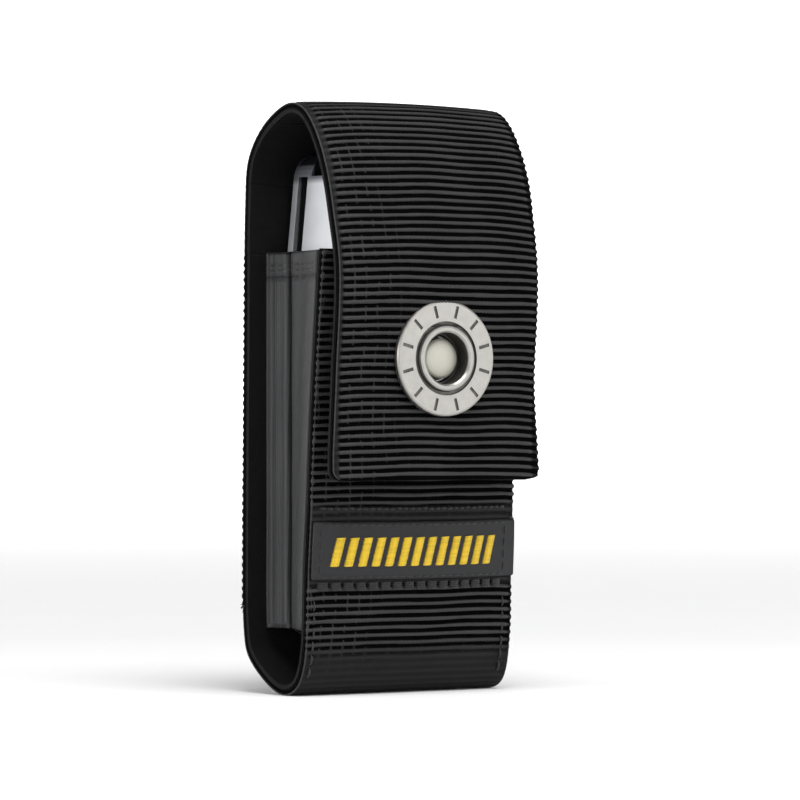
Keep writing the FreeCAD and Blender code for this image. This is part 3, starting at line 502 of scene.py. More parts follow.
def woven_ribs(s, x, origin, seed, half):
    """Height of the weave, 0 to 1: cords across the strap, and finer warp threads between them."""
    calm = ease(np.abs(s - origin), 0.0, 6.0)
    sag = 0.45 * np.clip(np.abs(x) / half, 0, 1.05) ** 6 * calm
    shift = 0.11 * waves(s * 0.8, x * 0.7, seed, 6, 46.0, 12.0) * calm
    place = (s - origin - sag + shift) / PITCH
    cord = np.floor(place)
    across = place - cord - 0.5
    size = 0.86 + 0.28 * scatter(cord, seed)
    width = 0.285 + 0.02 * waves(x, cord * 3.1, seed + 1, 4, 26.0, 6.0)
    dome = np.sqrt(np.clip(1.0 - (across / width) ** 2, 0.0, 1.0))
    warp = x / WARP_PITCH + 0.14 * waves(s, x * 0.2, seed + 2, 3, 30.0, 12.0)
    number = np.round(warp)
    present = scatter(number * 7.0 + cord * 3.0, seed + 3) > 0.3
    outer = 0.30 + 0.70 * ease(-x, 2.0, 18.0)
    tick = np.exp(-(((warp - number) * WARP_PITCH / 0.26) ** 2)) * present * 0.62 * outer
    twist = 0.06 * np.sin(2 * math.pi * (x / 0.85 + across * 1.5)) * dome
    worn = 1.0 - 0.55 * ease(np.abs(x), half - 1.6, half - 0.2)
    return worn * (np.maximum(dome * size, tick) + twist)


def flap_ribs(s, x):
    pulled = 1.0 - 0.6 * np.exp(-(((s - CROWN - 2.0) / 7.0) ** 2))
    band = 1.9 - 0.9 * ease(s, BROW, BROW + 20.0)
    selvedge = 1.0 - 0.85 * ease(-x, FLAP_HALF - band - 0.6, FLAP_HALF - band + 0.2)
    return woven_ribs(s, x, FLAP_START, 3, FLAP_HALF), pulled * selvedge


def pouch_ribs(s, x):
    front = 1.0 - ease(s, FRONT_FOLD - 1.0, FRONT_FOLD + 6.0)
    back = ease(s, BACK_FOLD - 4.0, BACK_FOLD + 2.0)
    high = front_length(LABEL_HIGH + 3.4)
    low = front_length(LABEL_LOW - 1.9)
    pressed = ease(s, high - 1.0, high + 0.6) * (1.0 - ease(s, low - 0.6, low + 1.0))
    strength = 0.06 + 0.94 * np.maximum(front, back) * (1.0 - 0.85 * pressed)
    return woven_ribs(s, x, POUCH_END, 11, BACK_HALF), strength


def loop_ribs(s, x):
    return woven_ribs(s, x, 0.0, 21, LOOP_HIGH[0]), np.full(np.shape(s), 0.85)


# ---------------------------------------------------------------------------
# finishes
# ---------------------------------------------------------------------------
class Signal:
    """A socket in a finish. Sums on it add Math nodes."""

    def __init__(self, finish, socket):
        self.finish = finish
        self.socket = socket

    def work(self, operation, *values):
        inputs = dict(enumerate(values))
        return self.finish.node("ShaderNodeMath", {"operation": operation}, inputs)

    def __add__(self, other):
        return self.work("ADD", self, other)

    def __radd__(self, other):
        return self.work("ADD", other, self)

    def __sub__(self, other):
        return self.work("SUBTRACT", self, other)

    def __rsub__(self, other):
        return self.work("SUBTRACT", other, self)

    def __mul__(self, other):
        return self.work("MULTIPLY", self, other)

    def __rmul__(self, other):
        return self.work("MULTIPLY", other, self)

    def __truediv__(self, other):
        return self.work("DIVIDE", self, other)

    def __pow__(self, other):
        return self.work("POWER", self, other)

    def sine(self):
        return self.work("SINE", self)

    def size(self):
        return self.work("ABSOLUTE", self)

    def kept(self, low, high):
        return self.work("MINIMUM", self.work("MAXIMUM", self, low), high)


class Finish:
    """A material and the one way its nodes are added."""

    def __init__(self, name):
        self.material = bpy.data.materials.new(name)
        self.material.use_nodes = True
        self.tree = self.material.node_tree
        self.tree.nodes.clear()

    def node(self, kind, settings=None, inputs=None, output=0):
        node = self.tree.nodes.new(kind)
        for key, value in (settings or {}).items():
            setattr(node, key, value)
        for key, value in (inputs or {}).items():
            if isinstance(value, Signal):
                self.tree.links.new(value.socket, node.inputs[key])
            else:
                node.inputs[key].default_value = value
        if output is None:
            return [Signal(self, socket) for socket in node.outputs]
        return Signal(self, node.outputs[output])

    def mix(self, share, first, second):
        """Colour between two colours."""
        return self.node("ShaderNodeMix", {"data_type": "RGBA"}, {0: share, 6: first, 7: second}, 2)

    def along(self):
        """Across, along and height on a sewn piece, in millimetres; on the webbing the height sets painted
        highlight and painted shade.
        """
        vector = self.node("ShaderNodeAttribute", {"attribute_name": "along"}, None, "Vector")
        return self.node("ShaderNodeSeparateXYZ", None, {0: vector}, None)

    def place(self):
        """Position on the piece at rest, in millimetres."""
        vector = self.node("ShaderNodeTexCoord", None, None, "Object")
        scaled = self.node("ShaderNodeVectorMath", {"operation": "SCALE"}, {0: vector, "Scale": 1.0 / MM})
        return self.node("ShaderNodeSeparateXYZ", None, {0: scaled}, None)

    def vector(self, x, y, z):
        return self.node("ShaderNodeCombineXYZ", None, {0: x, 1: y, 2: z})

    def noise(self, vector, scale, detail=3.0, roughness=0.55):
        inputs = {"Vector": vector, "Scale": scale, "Detail": detail, "Roughness": roughness}
        return self.node("ShaderNodeTexNoise", None, inputs)

    def bump(self, height, strength, distance):
        inputs = {"Height": height, "Strength": strength, "Distance": distance}
        return self.node("ShaderNodeBump", None, inputs)

    def shader(self, **inputs):
        """A skin with its named sockets."""
        named = {key.replace("_", " ").title().replace("Ior", "IOR"): v for key, v in inputs.items()}
        return self.node("ShaderNodeBsdfPrincipled", None, named)

    def finished(self, shader):
        self.node("ShaderNodeOutputMaterial", None, {0: shader}, None)
        return self.material

    def surface(self, **inputs):
        """A finish with one skin."""
        return self.finished(self.shader(**inputs))


def toned(tone, share, most=1.0):
    """A tone made lighter or darker, with no part of it over the most."""
    return tuple(min(share * part, most) for part in tone[:3]) + (1.0,)


def webbing_finish(tone):
    """Black cords with a fuzzy crown lit by painted highlight, and painted shade darkening the valleys with
    warp threads.
    """
    f = Finish("ribbed webbing")
    x, s, lift = f.along()
    fuzz = f.noise(f.vector(x * 0.9, s * 5.0, 0.0), 1.6, 3.0, 0.7)
    patches = f.noise(f.vector(x * 0.10, s * 0.10, 3.0), 1.0, 2.0)
    twist = (x * 7.4 + s * 4.6).sine() * 0.5 + 0.5
    # The lift is the share of rib height: it sets painted highlight on the crowns and painted shade in the
    # valleys.
    crown = lift.kept(0.0, 1.0)
    worn = (0.5 + 0.8 * fuzz) * (0.7 + 0.6 * patches)
    colour = f.mix(worn.kept(0.0, 1.0), toned(tone, 0.5), toned(tone, 1.9))
    normal = f.bump(0.6 * twist + 0.9 * fuzz, 0.5, 0.00010)
    cords = f.shader(base_color=colour, roughness=0.40 + 0.24 * fuzz, normal=normal,
                     specular_ior_level=0.30, sheen_weight=0.02, sheen_roughness=0.4)
    # Painted shade: near-black colour and almost no shine for the valleys.
    valley_painted_shade = f.mix(fuzz.kept(0.0, 1.0), toned(tone, 0.04), toned(tone, 0.16))
    gaps = f.shader(base_color=valley_painted_shade, roughness=0.9, normal=normal, specular_ior_level=0.02)
    # Crowns take the lit shader and valleys the shaded one, by rib height: painted light and shade.
    share = ((crown - 0.30) * 1.9).kept(0.0, 1.0)
    both = f.node("ShaderNodeMixShader", None, {0: share, 1: gaps, 2: cords})
    return f.finished(both)


def lining_finish(tone):
    """Close plain weave with a soft shine along its folded edge."""
    f = Finish("lining cloth")
    x, s, lift = f.along()
    weave = (x * 12.5).sine() * (s * 12.5).sine()
    cloud = f.noise(f.vector(x * 0.2, s * 0.2, 1.0), 1.0, 3.0)
    colour = f.mix(cloud.kept(0.0, 1.0), toned(tone, 0.7), tuple(tone))
    normal = f.bump(weave + 0.6 * cloud, 0.4, 0.00006)
    return f.surface(base_color=colour, roughness=0.62 + 0.1 * cloud, normal=normal,
                     specular_ior_level=0.12, sheen_weight=0.01, sheen_roughness=0.4)


def elastic_finish(tone):
    """Smooth knitted panel with fine upright ribs, and painted shade darkening its fold beside the tool."""
    f = Finish("side panel knit")
    x, s, lift = f.along()
    ribs = (x * 9.6).sine()
    loops = (s * 10.5 + ribs * 0.8).sine()
    cloud = f.noise(f.vector(x * 0.25, s * 0.07, 2.0), 1.0, 3.0)
    colour = f.mix((0.2 + 0.8 * cloud).kept(0.0, 1.0), toned(tone, 0.65), toned(tone, 1.25))
    # Painted shade: the fold nearest the tool's sides goes near black.
    across, _, _ = f.place()
    groove_painted_shade = ((float(TOOL_HALF) + 2.05 - across.size()) * 1.1).kept(0.0, 0.92)
    colour = f.mix(groove_painted_shade, colour, (0.0012, 0.0012, 0.0014, 1.0))
    normal = f.bump(0.7 * ribs + 0.35 * loops + 1.2 * cloud, 0.35, 0.00005)
    return f.surface(base_color=colour, roughness=0.44 + 0.12 * cloud, normal=normal,
                     specular_ior_level=0.40, sheen_weight=0.03, sheen_roughness=0.35)


def label_finish(tone):
    """Fine satin ribbon."""
    f = Finish("label ribbon")
    x, s, lift = f.along()
    twill = ((x + s) * 13.0).sine() + 0.6 * (s * 21.0).sine()
    cloud = f.noise(f.vector(x * 0.3, s * 0.6, 5.0), 1.0, 3.0)
    colour = f.mix(cloud.kept(0.0, 1.0), toned(tone, 0.75), toned(tone, 1.2))
    normal = f.bump(twill + cloud, 0.3, 0.00004)
    return f.surface(base_color=colour, roughness=0.5 + 0.12 * cloud, normal=normal,
                     specular_ior_level=0.32, sheen_weight=0.03)


def thread_finish(name, tone, gloss):
    """Twisted thread with a lay of strands."""
    f = Finish(name)
    turn, length, number = f.along()
    strand = (turn + length * 9.0).sine() * 0.5 + 0.5
    tint = (0.35 + 0.4 * strand + 0.5 * number).kept(0.0, 1.0)
    colour = f.mix(tint, toned(tone, 0.62), toned(tone, 1.15))
    normal = f.bump(strand, 0.5, 0.00005)
    return f.surface(base_color=colour, roughness=gloss + 0.1 * strand, normal=normal,
                     specular_ior_level=0.4, sheen_weight=0.1)


def snap_finish(tone):
    """Satin nickel, faintly turned, duller in its hollows, where painted shade darkens it."""
    f = Finish("satin nickel")
    x, y, z = f.place()
    height = z - float(SNAP_Z)
    distance = (x * x + height * height) ** 0.5
    turned = f.noise(f.vector(distance * 14.0, 0.0, 0.0), 1.0, 4.0, 0.7)
    spots = f.noise(f.vector(x * 0.55, y, z * 0.55), 1.0, 4.0, 0.6)
    colour = f.mix((0.25 + 0.75 * spots).kept(0.0, 1.0), toned(tone, 0.72), toned(tone, 1.25))
    # Painted shade: metal sunk behind the ring's front face is darkened and made rougher.
    sunk = ((y - float(SNAP_RING[0][1]) - 0.04) * 12.0).kept(0.0, 1.0)
    sunk = sunk * ((11.3 - distance) * 6.0).kept(0.0, 1.0)
    hollow_painted_shade = (sunk * (0.55 + 0.5 * spots)).kept(0.0, 0.9)
    colour = f.mix(hollow_painted_shade, colour, (0.05, 0.048, 0.045, 1.0))
    normal = f.bump(turned + 0.8 * spots, 0.18, 0.00005)
    rough = (0.27 + 0.16 * spots + 0.07 * turned + 0.2 * hollow_painted_shade).kept(0.1, 0.8)
    return f.surface(base_color=colour, roughness=rough, normal=normal, metallic=1.0)


def steel_finish(name, tone, polish, grain, marks):
    """Ground steel with long fine grain, light marks and smudges."""
    f = Finish(name)
    x, y, z = f.place()
    lines = f.noise(f.vector(x * grain, y * grain, z * 0.10), 1.0, 4.0, 0.75)
    smudge = f.noise(f.vector(x * 0.12, y * 0.12, z * 0.09), 1.0, 3.0, 0.6)
    scratch = f.noise(f.vector(x * 5.0 + z * 2.0, y * 5.0, z * 0.4), 1.0, 2.0, 0.5) ** 6.0
    colour = f.mix((0.2 + 0.8 * smudge).kept(0.0, 1.0), toned(tone, 0.8), toned(tone, 1.1))
    normal = f.bump(lines + marks * scratch, 0.16, 0.00004)
    rough = (polish + 0.16 * smudge + 0.10 * lines).kept(0.05, 0.9)
    return f.surface(base_color=colour, roughness=rough, normal=normal, metallic=1.0)


def handle_finish(tone):
    """Ground steel handles: bright outside, with painted shade blackening the insides of their slots and a
    painted dark blue reflection on the top knuckle at the pivots.
    """
    f = Finish("ground handle steel")
    x, y, z = f.place()
    lines = f.noise(f.vector(x * 2.4, y * 2.4, z * 0.10), 1.0, 4.0, 0.75)
    smudge = f.noise(f.vector(x * 0.12, y * 0.12, z * 0.09), 1.0, 3.0, 0.6)
    middle = float(0.5 * (TOOL_BOX[0][1] + TOOL_BOX[1][1]))
    thick = float(0.5 * (TOOL_BOX[1][1] - TOOL_BOX[0][1]))
    top = float(TOOL_BOX[1][2])
    # Painted shade: the insides of the slots, found from the tool's box, go near black.
    narrowing = ((z - (top - 25.2)) * (2.0 / 25.2)).kept(0.0, 2.0)
    under = ((float(TOOL_HALF) - narrowing - x.size() - 0.9) * 3.0).kept(0.0, 1.0)
    between = ((thick - 0.35 - (y - middle).size()) * 6.0).kept(0.0, 1.0)
    inside = under * between
    # Painted reflection: the top knuckle is tinted dark blue.
    knuckle_painted_reflection = ((z - (top - 6.4)) * 0.8).kept(0.0, 1.0) * (0.55 + 0.35 * smudge)
    colour = f.mix((0.2 + 0.8 * smudge).kept(0.0, 1.0), toned(tone, 0.85), toned(tone, 1.1))
    colour = f.mix(knuckle_painted_reflection, colour, (0.040, 0.044, 0.075, 1.0))
    colour = f.mix((inside * 0.96).kept(0.0, 1.0), colour, (0.006, 0.0065, 0.008, 1.0))
    rough = (0.40 + 0.14 * smudge + 0.10 * lines + 0.2 * inside).kept(0.05, 0.9)
    normal = f.bump(lines, 0.14, 0.00004)
    return f.surface(base_color=colour, roughness=rough, normal=normal, metallic=1.0)


def floor_finish(tone):
    """Plain pale paper."""
    f = Finish("pale floor")
    x, y, z = f.place()
    fibre = f.noise(f.vector(x * 0.02, y * 0.02, 0.0), 1.0, 4.0, 0.6)
    colour = f.mix(fibre.kept(0.0, 1.0), toned(tone, 0.985), tuple(tone))
    far = (((x * x + y * y) ** 0.5 - 250.0) / 1200.0).kept(0.0, 1.0)
    glow = f.mix(far, (0.0, 0.0, 0.0, 1.0), (0.62, 0.62, 0.62, 1.0))
    return f.surface(base_color=colour, roughness=0.85 + 0.05 * fibre, specular_ior_level=0.1,
                     emission_color=glow, emission_strength=1.0)


def surround_finish():
    """White wall that is lit by itself."""
    f = Finish("white surround")
    return f.surface(base_color=(0.8, 0.8, 0.8, 1.0), roughness=0.9,
                     emission_color=(1.0, 1.0, 1.0, 1.0), emission_strength=0.9)


def made_once(name, maker, *values):
    """The named finish, made the first time it is asked for."""
    found = bpy.data.materials.get(name)
    return found if found is not None else maker(*values)


def dress(piece, material):
    piece.data.materials.clear()
    piece.data.materials.append(material)


def fixed(piece, material, slot, *nodes):
    """Finishes a piece of the sheath, which stands for the named nodes and moves with the sheath."""
    dress(piece, material)
    if nodes:
        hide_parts(*nodes)
    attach(piece, "sheath")
    return piece


def sewn(name, lines, up, radius, material, slot=None):
    """Threads sewn to the sheath."""
    return fixed(thread_piece(name, lines, up, radius), material, slot)


# ---------------------------------------------------------------------------
# what a user may change
# ---------------------------------------------------------------------------
def colour_value(name, description, default):
    return bpy.props.FloatVectorProperty(
        name=name, description=description, subtype="COLOR", size=4, min=0.0, max=1.0, default=default)


class SheathColours(bpy.types.PropertyGroup):
    """Colours of the sheath and its tool."""

    webbing: colour_value("Webbing", "Colour of the ribbed strap", (0.0128, 0.0126, 0.0130, 1.0))
    lining: colour_value("Lining", "Colour of the cloth inside the strap", (0.0045, 0.0045, 0.005, 1.0))
    panel: colour_value("Side panel", "Colour of the folded side panels", (0.0175, 0.0181, 0.0193, 1.0))
    ribbon: colour_value("Label", "Colour of the label ribbon", (0.011, 0.0114, 0.0128, 1.0))
    emblem: colour_value("Label pattern", "Colour of the sewn bars", (0.62, 0.42, 0.012, 1.0))
    thread: colour_value("Stitches", "Colour of the seam thread", (0.008, 0.008, 0.0085, 1.0))
    nickel: colour_value("Snap", "Colour of the snap's metal", (0.34, 0.33, 0.31, 1.0))
    steel: colour_value("Tool", "Colour of the tool's steel", (0.62, 0.63, 0.65, 1.0))
    floor: colour_value("Floor", "Colour of the floor", (0.90, 0.90, 0.90, 1.0))


class SheathSizes(bpy.types.PropertyGroup):
    """Sizes of what is sewn on."""

    stitch_length: bpy.props.FloatProperty(
        name="Stitch length", description="Length of one seam stitch",
        default=0.0022, min=0.0005, max=0.01, subtype="DISTANCE", unit="LENGTH")
    bar_height: bpy.props.FloatProperty(
        name="Bar height", description="Height of the bars on the label",
        default=0.0058, min=0.001, max=0.01, subtype="DISTANCE", unit="LENGTH")
    bar_count: bpy.props.IntProperty(
        name="Bars", description="Number of bars on the label", default=13, min=1, max=30)


# ---------------------------------------------------------------------------
# sewn pieces
# ---------------------------------------------------------------------------
def flap_parts():
    """Stretches of the flap with the bend that each one crosses."""
    cuts = [FLAP_START, 0.5 * (HINGE + SHOULDER), 0.5 * (SHOULDER + CROWN), 0.5 * (CROWN + BROW), BROW + 12.0]
    cuts = [cuts[0]] + [FLAP_START + PITCH * round((c - FLAP_START) / PITCH) for c in cuts[1:]]
    bends = [
        ("root", "sheath", "flap_base", HINGE + 1.4, 4.0, "flap_rear"),
        ("shoulder", "flap_base", "flap_arch", SHOULDER, 7.0, "flap_top"),
        ("crown", "flap_arch", "flap_bend", CROWN, 6.5, "flap_brow"),
        ("brow", "flap_bend", "flap", BROW, 7.0, None),
    ]
    return cuts, bends


def bend_piece(piece, first, second, middle, reach):
    """Bakes a stretch of the flap's transform into its mesh; the ends of its bend's axis are worked out but
    not used.
    """
    depth, height, out_depth, out_height = flap.at(middle)
    forward = np.array([0.0, -out_height, -out_depth])
    place = np.array([0.0, BACK_Y - depth, height])
    start = (place - forward * reach) * MM
    end = (place + forward * reach) * MM
    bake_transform(piece)


def cut_cloth(half, start, end):
    widths = 2.0 * (half(np.linspace(start, end, 400)) - LINING_MARGIN) * MM
    length = (end - start) * MM
    area = float(0.5 * (widths[1:] + widths[:-1]).mean() * length)


def sew_flap(kind, slot, material, replaced, **strap):
    """The flap as four stretches and a front one, with the snap's hole, attached to the flap's body."""
    cuts, bends = flap_parts()
    for index, (part, first, second, middle, reach, node) in enumerate(bends):
        piece = strap_piece(f"flap_{part}_{kind}", flap, cuts[index], cuts[index + 1], flap_half, flap_rise,
                            lean=flap_lean, **strap)
        dress(piece, material)
        if node and replaced:
            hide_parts(node)
        bend_piece(piece, first, second, middle, reach)
        if not replaced:
            cut_cloth(flap_half, cuts[index], cuts[index + 1])
    front = strap_piece(f"flap_face_{kind}", flap, cuts[-1], FLAP_END, flap_half, flap_rise,
                        corner=2.2, round_end=True, lean=flap_lean, **strap)
    punch(front, EYELET_RADIUS, SNAP_Z)
    dress(front, material)
    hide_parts("flap_front" if replaced else "flap_lining")
    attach(front, "flap")
    if not replaced:
        cut_cloth(flap_half, cuts[-1], FLAP_END)


def panel_section(height):
    """Side panel's middle line across, from the back strap to the front."""
    back = np.interp(height, pouch.points[int(UNDER * 10):, 1], pouch.points[int(UNDER * 10):, 0])
    front, _, _, _ = pouch.at(front_length(min(height, MOUTH - 0.2)))
    back = back + STRAP + 0.9
    crease = back + 5.5
    half = float(pouch_half(front_length(min(height, MOUTH - 0.2))))
    front_x = half - 0.9
    rise = float(pouch_rise(front_length(min(height, MOUTH - 0.2))))
    edge = front - STRAP - 0.66 + rise * (1.0 - (front_x / half) ** 2)
    inner = TOOL_HALF + 0.95
    return np.array([
        (BACK_HALF - 3.6, back - 0.25), (inner + 3.0, back), (inner + 2.55, back + 0.5),
        (inner + 2.35, back + 1.4), (inner + 1.75, back + 3.9), (inner + 1.6, back + 4.5),
        (inner + 0.5, back + 4.75), (inner - 0.1, back + 5.5), (inner + 0.0, back + 6.6),
        (inner + 1.3, back + 7.1), (inner + 1.9, back + 7.6),
        (0.74 * (inner + 1.5) + 0.26 * front_x, crease + 0.36 * (edge - crease)),
        (0.35 * (inner + 1.5) + 0.65 * front_x, crease + 0.70 * (edge - crease)), (front_x, edge),
    ])


def side_panel(side):
    """Folded elastic panel with a turned hem at its top."""
    heights = np.concatenate([np.arange(GUSSET_LOW, MOUTH - 5.0, 1.5), np.linspace(MOUTH - 5.0, MOUTH, 20)])
    loops = []
    along = []
    for height in heights:
        line = smooth_path(panel_section(height))
        wanted = np.linspace(0, len(line) - 1, 90)
        line = np.stack([np.interp(wanted, np.arange(len(line)), line[:, k]) for k in (0, 1)], 1)
        tangent = np.gradient(line, axis=0)
        tangent /= np.linalg.norm(tangent, axis=1)[:, None]
        normal = np.stack([-tangent[:, 1], tangent[:, 0]], 1)
        hem = 0.16 * float(ease(height, MOUTH - 4.6, MOUTH - 4.2))
        seam = 0.13 * math.exp(-((height - MOUTH + 2.7) / 0.30) ** 2)
        seam += 0.13 * math.exp(-((height - MOUTH + 3.8) / 0.30) ** 2)
        half = 0.42 + hem - seam
        tip = 1.0 - np.clip(1.0 - (MOUTH - height) / 0.5, 0.0, 0.96) ** 2
        half = half * math.sqrt(tip)
        wrinkle = 0.05 * waves(np.arange(90) * 0.3, height * 0.5, 5 + side, 5, 22.0, 6.0)[:, None]
        outer = line - normal * half + normal * wrinkle
        inner = line + normal * half + normal * wrinkle
        ring = np.vstack([outer, inner[::-1]])
        loops.append(world(side * ring[:, 0], ring[:, 1], np.full(len(ring), height)))
        across = np.concatenate([np.arange(90), np.arange(90)[::-1]]) * 0.35
        along.append(np.stack([across, np.full(180, height), np.zeros(180)], 1))
    grid = np.stack(loops)
    if side < 0:
        grid = grid[:, ::-1]
        along = [a[::-1] for a in along]
    name = "side_panel_left" if side < 0 else "side_panel_right"
    return tube_piece(name, grid, np.stack(along))


def front_stitch(x, height, out):
    """A place on the pouch's front face, in metres."""
    s = front_length(height)
    crown = float(pouch_rise(s)) * (1.0 - (x / float(pouch_half(s))) ** 2)
    return pouch.surface(s, x, crown, out)


def front_thread(x, half, height, out):
    """One stitch across the pouch's front, dipping in at both ends."""
    return [front_stitch(x + half + half * t, height, out - 0.42 * t**4) for t in np.linspace(-1, 1, 7)]


def seam(start, end, pitch, place, length, dip=0.35):
    """Row of stitches between two places given as pairs; place turns a pair into a point."""
    start = np.array(start, float)
    end = np.array(end, float)
    total = np.linalg.norm(end - start)
    count = max(int(total / pitch), 1)
    direction = (end - start) / total
    lines = []
    for index in range(count):
        middle = start + direction * (index + 0.5) * total / count
        points = []
        for t in np.linspace(-0.5, 0.5, 7):
            u, v = middle + direction * t * length
            points.append(place(u, v, -dip * (2 * t) ** 4))
        lines.append(points)
    return lines


# ---------------------------------------------------------------------------
# operators: one for each piece or group of like pieces
# ---------------------------------------------------------------------------
class SHEATH_OT_webbing(bpy.types.Operator):
    """Make the ribbed strap: the pouch and the flap"""

    bl_idname = "sheath.webbing"
    bl_label = "Webbing strap"

    def execute(self, context):
        material = made_once("ribbed webbing", webbing_finish, context.scene.sheath_colours.webbing)
        strap = dict(top=RIB, thick=WEBBING - RIB)
        body = strap_piece("pouch_webbing", pouch, 0.0, POUCH_END, pouch_half, pouch_rise, ribs=pouch_ribs,
                           step=0.21, round_start=True, lean=pouch_lean, **strap)
        fixed(body, material, "webbing", "sheath_back", "sheath_bottom", "sheath_front")
        sew_flap("webbing", "webbing", material, True, ribs=flap_ribs, step=0.19, wide=0.45, **strap)
        return {"FINISHED"}


class SHEATH_OT_lining(bpy.types.Operator):
    """Make the cloth inside the strap"""

    bl_idname = "sheath.lining"
    bl_label = "Lining"

    def execute(self, context):
        material = made_once("lining cloth", lining_finish, context.scene.sheath_colours.lining)
        strap = dict(top=WEBBING + LAYER_GAP, thick=LINING, margin=LINING_MARGIN, wide=1.2)
        body = strap_piece("pouch_lining", pouch, 0.0, POUCH_END, pouch_half, pouch_rise, step=0.6,
                           round_start=True, lean=pouch_lean, **strap)
        fixed(body, material, "lining", "sheath_lining")
        cut_cloth(pouch_half, 0.0, POUCH_END)
        sew_flap("lining", "lining", material, False, step=0.5, **strap)
        return {"FINISHED"}


class SHEATH_OT_side_panels(bpy.types.Operator):
    """Make the folded elastic panels at both sides"""

    bl_idname = "sheath.side_panels"
    bl_label = "Side panels"

    def execute(self, context):
        material = made_once("side panel knit", elastic_finish, context.scene.sheath_colours.panel)
        for side, node in ((-1, "gusset_left"), (1, "gusset_right")):
            panel = fixed(side_panel(side), material, "elastic", node)
            section = smooth_path(panel_section(0.5 * (GUSSET_LOW + MOUTH)))
        return {"FINISHED"}


class SHEATH_OT_label(bpy.types.Operator):
    """Make the label ribbon and the row of sewn bars on it"""

    bl_idname = "sheath.label"
    bl_label = "Label"

    def execute(self, context):
        colours = context.scene.sheath_colours
        sizes = context.scene.sheath_sizes
        low = front_length(LABEL_LOW)
        high = front_length(LABEL_HIGH)
        ribbon = strap_piece("label_ribbon", pouch, high, low, pouch_half, pouch_rise, top=-0.62, thick=0.62,
                             step=0.3, wide=0.6, margin=0.5, round_start=True, round_end=True,
                             lean=pouch_lean, selvedge=0.3)
        fixed(ribbon, made_once("label ribbon", label_finish, colours.ribbon), "label", "label_band")
        lines = []
        count = sizes.bar_count
        left = -20.8
        right = 20.2
        pitch = (right - left) / count
        tall = sizes.bar_height / MM
        middle = 0.5 * (LABEL_LOW + LABEL_HIGH)
        for bar in range(count):
            centre = left + pitch * (bar + 0.5)
            for row in np.arange(-0.5 * tall, 0.5 * tall, 0.27):
                wide = 0.66 * pitch + 0.16 * (scatter(bar * 40 + round(row * 10), 5) - 0.5)
                points = []
                for t in np.linspace(-0.5, 0.5, 6):
                    x = centre + t * wide + 0.22 * row
                    height = middle - 0.1 + row + 0.10 * t
                    points.append(front_stitch(x, height, 0.60 + 0.26 * (1.0 - (2 * t) ** 4)))
                lines.append(points)
        thread = made_once("label thread", thread_finish, "label thread", colours.emblem, 0.42)
        sewn("label_bars", lines, (0, -1, 0), 0.19, thread, "label")
        return {"FINISHED"}


class SHEATH_OT_belt_loop(bpy.types.Operator):
    """Make the belt loop with its boxed stitching"""

    bl_idname = "sheath.belt_loop"
    bl_label = "Belt loop"

    def execute(self, context):
        colours = context.scene.sheath_colours
        reach = LOOP_HIGH[1] - BACK_Y
        low = LOOP_LOW[2]
        high = LOOP_HIGH[2]
        near = -1.9
        line = [(near, low), (near, low + 6.4), (-reach, low + 10.9)]
        line += [(-reach, high - 10.9), (near, high - 6.4), (near, high)]
        path = Profile(softened_path(line, 0.9))
        loop = strap_piece("belt_loop_webbing", path, 0.0, path.length, loop_half, level, top=RIB,
                           thick=WEBBING - RIB, ribs=loop_ribs, step=0.24, wide=0.55,
                           round_start=True, round_end=True)
        fixed(loop, made_once("ribbed webbing", webbing_finish, colours.webbing), "webbing", "belt_loop")
        lines = []

        def place(x, height, out):
            return world(x, near - 0.02 - out, height)

        length = context.scene.sheath_sizes.stitch_length / MM
        wide = LOOP_HIGH[0] - 2.2
        for bottom in (low + 1.2, high - 5.6):
            top = bottom + 4.4
            corners = [(-wide, bottom), (wide, bottom), (wide, top), (-wide, top), (-wide, bottom)]
            for first, second in zip(corners, corners[1:]):
                lines += seam(first, second, length * 1.15, place, length)
            lines += seam((-wide, bottom), (wide, top), length * 1.15, place, length)
            lines += seam((-wide, top), (wide, bottom), length * 1.15, place, length)
        thread = made_once("seam thread", thread_finish, "seam thread", colours.thread, 0.5)
        sewn("belt_loop_stitches", lines, (0, 1, 0), 0.24, thread)
        return {"FINISHED"}


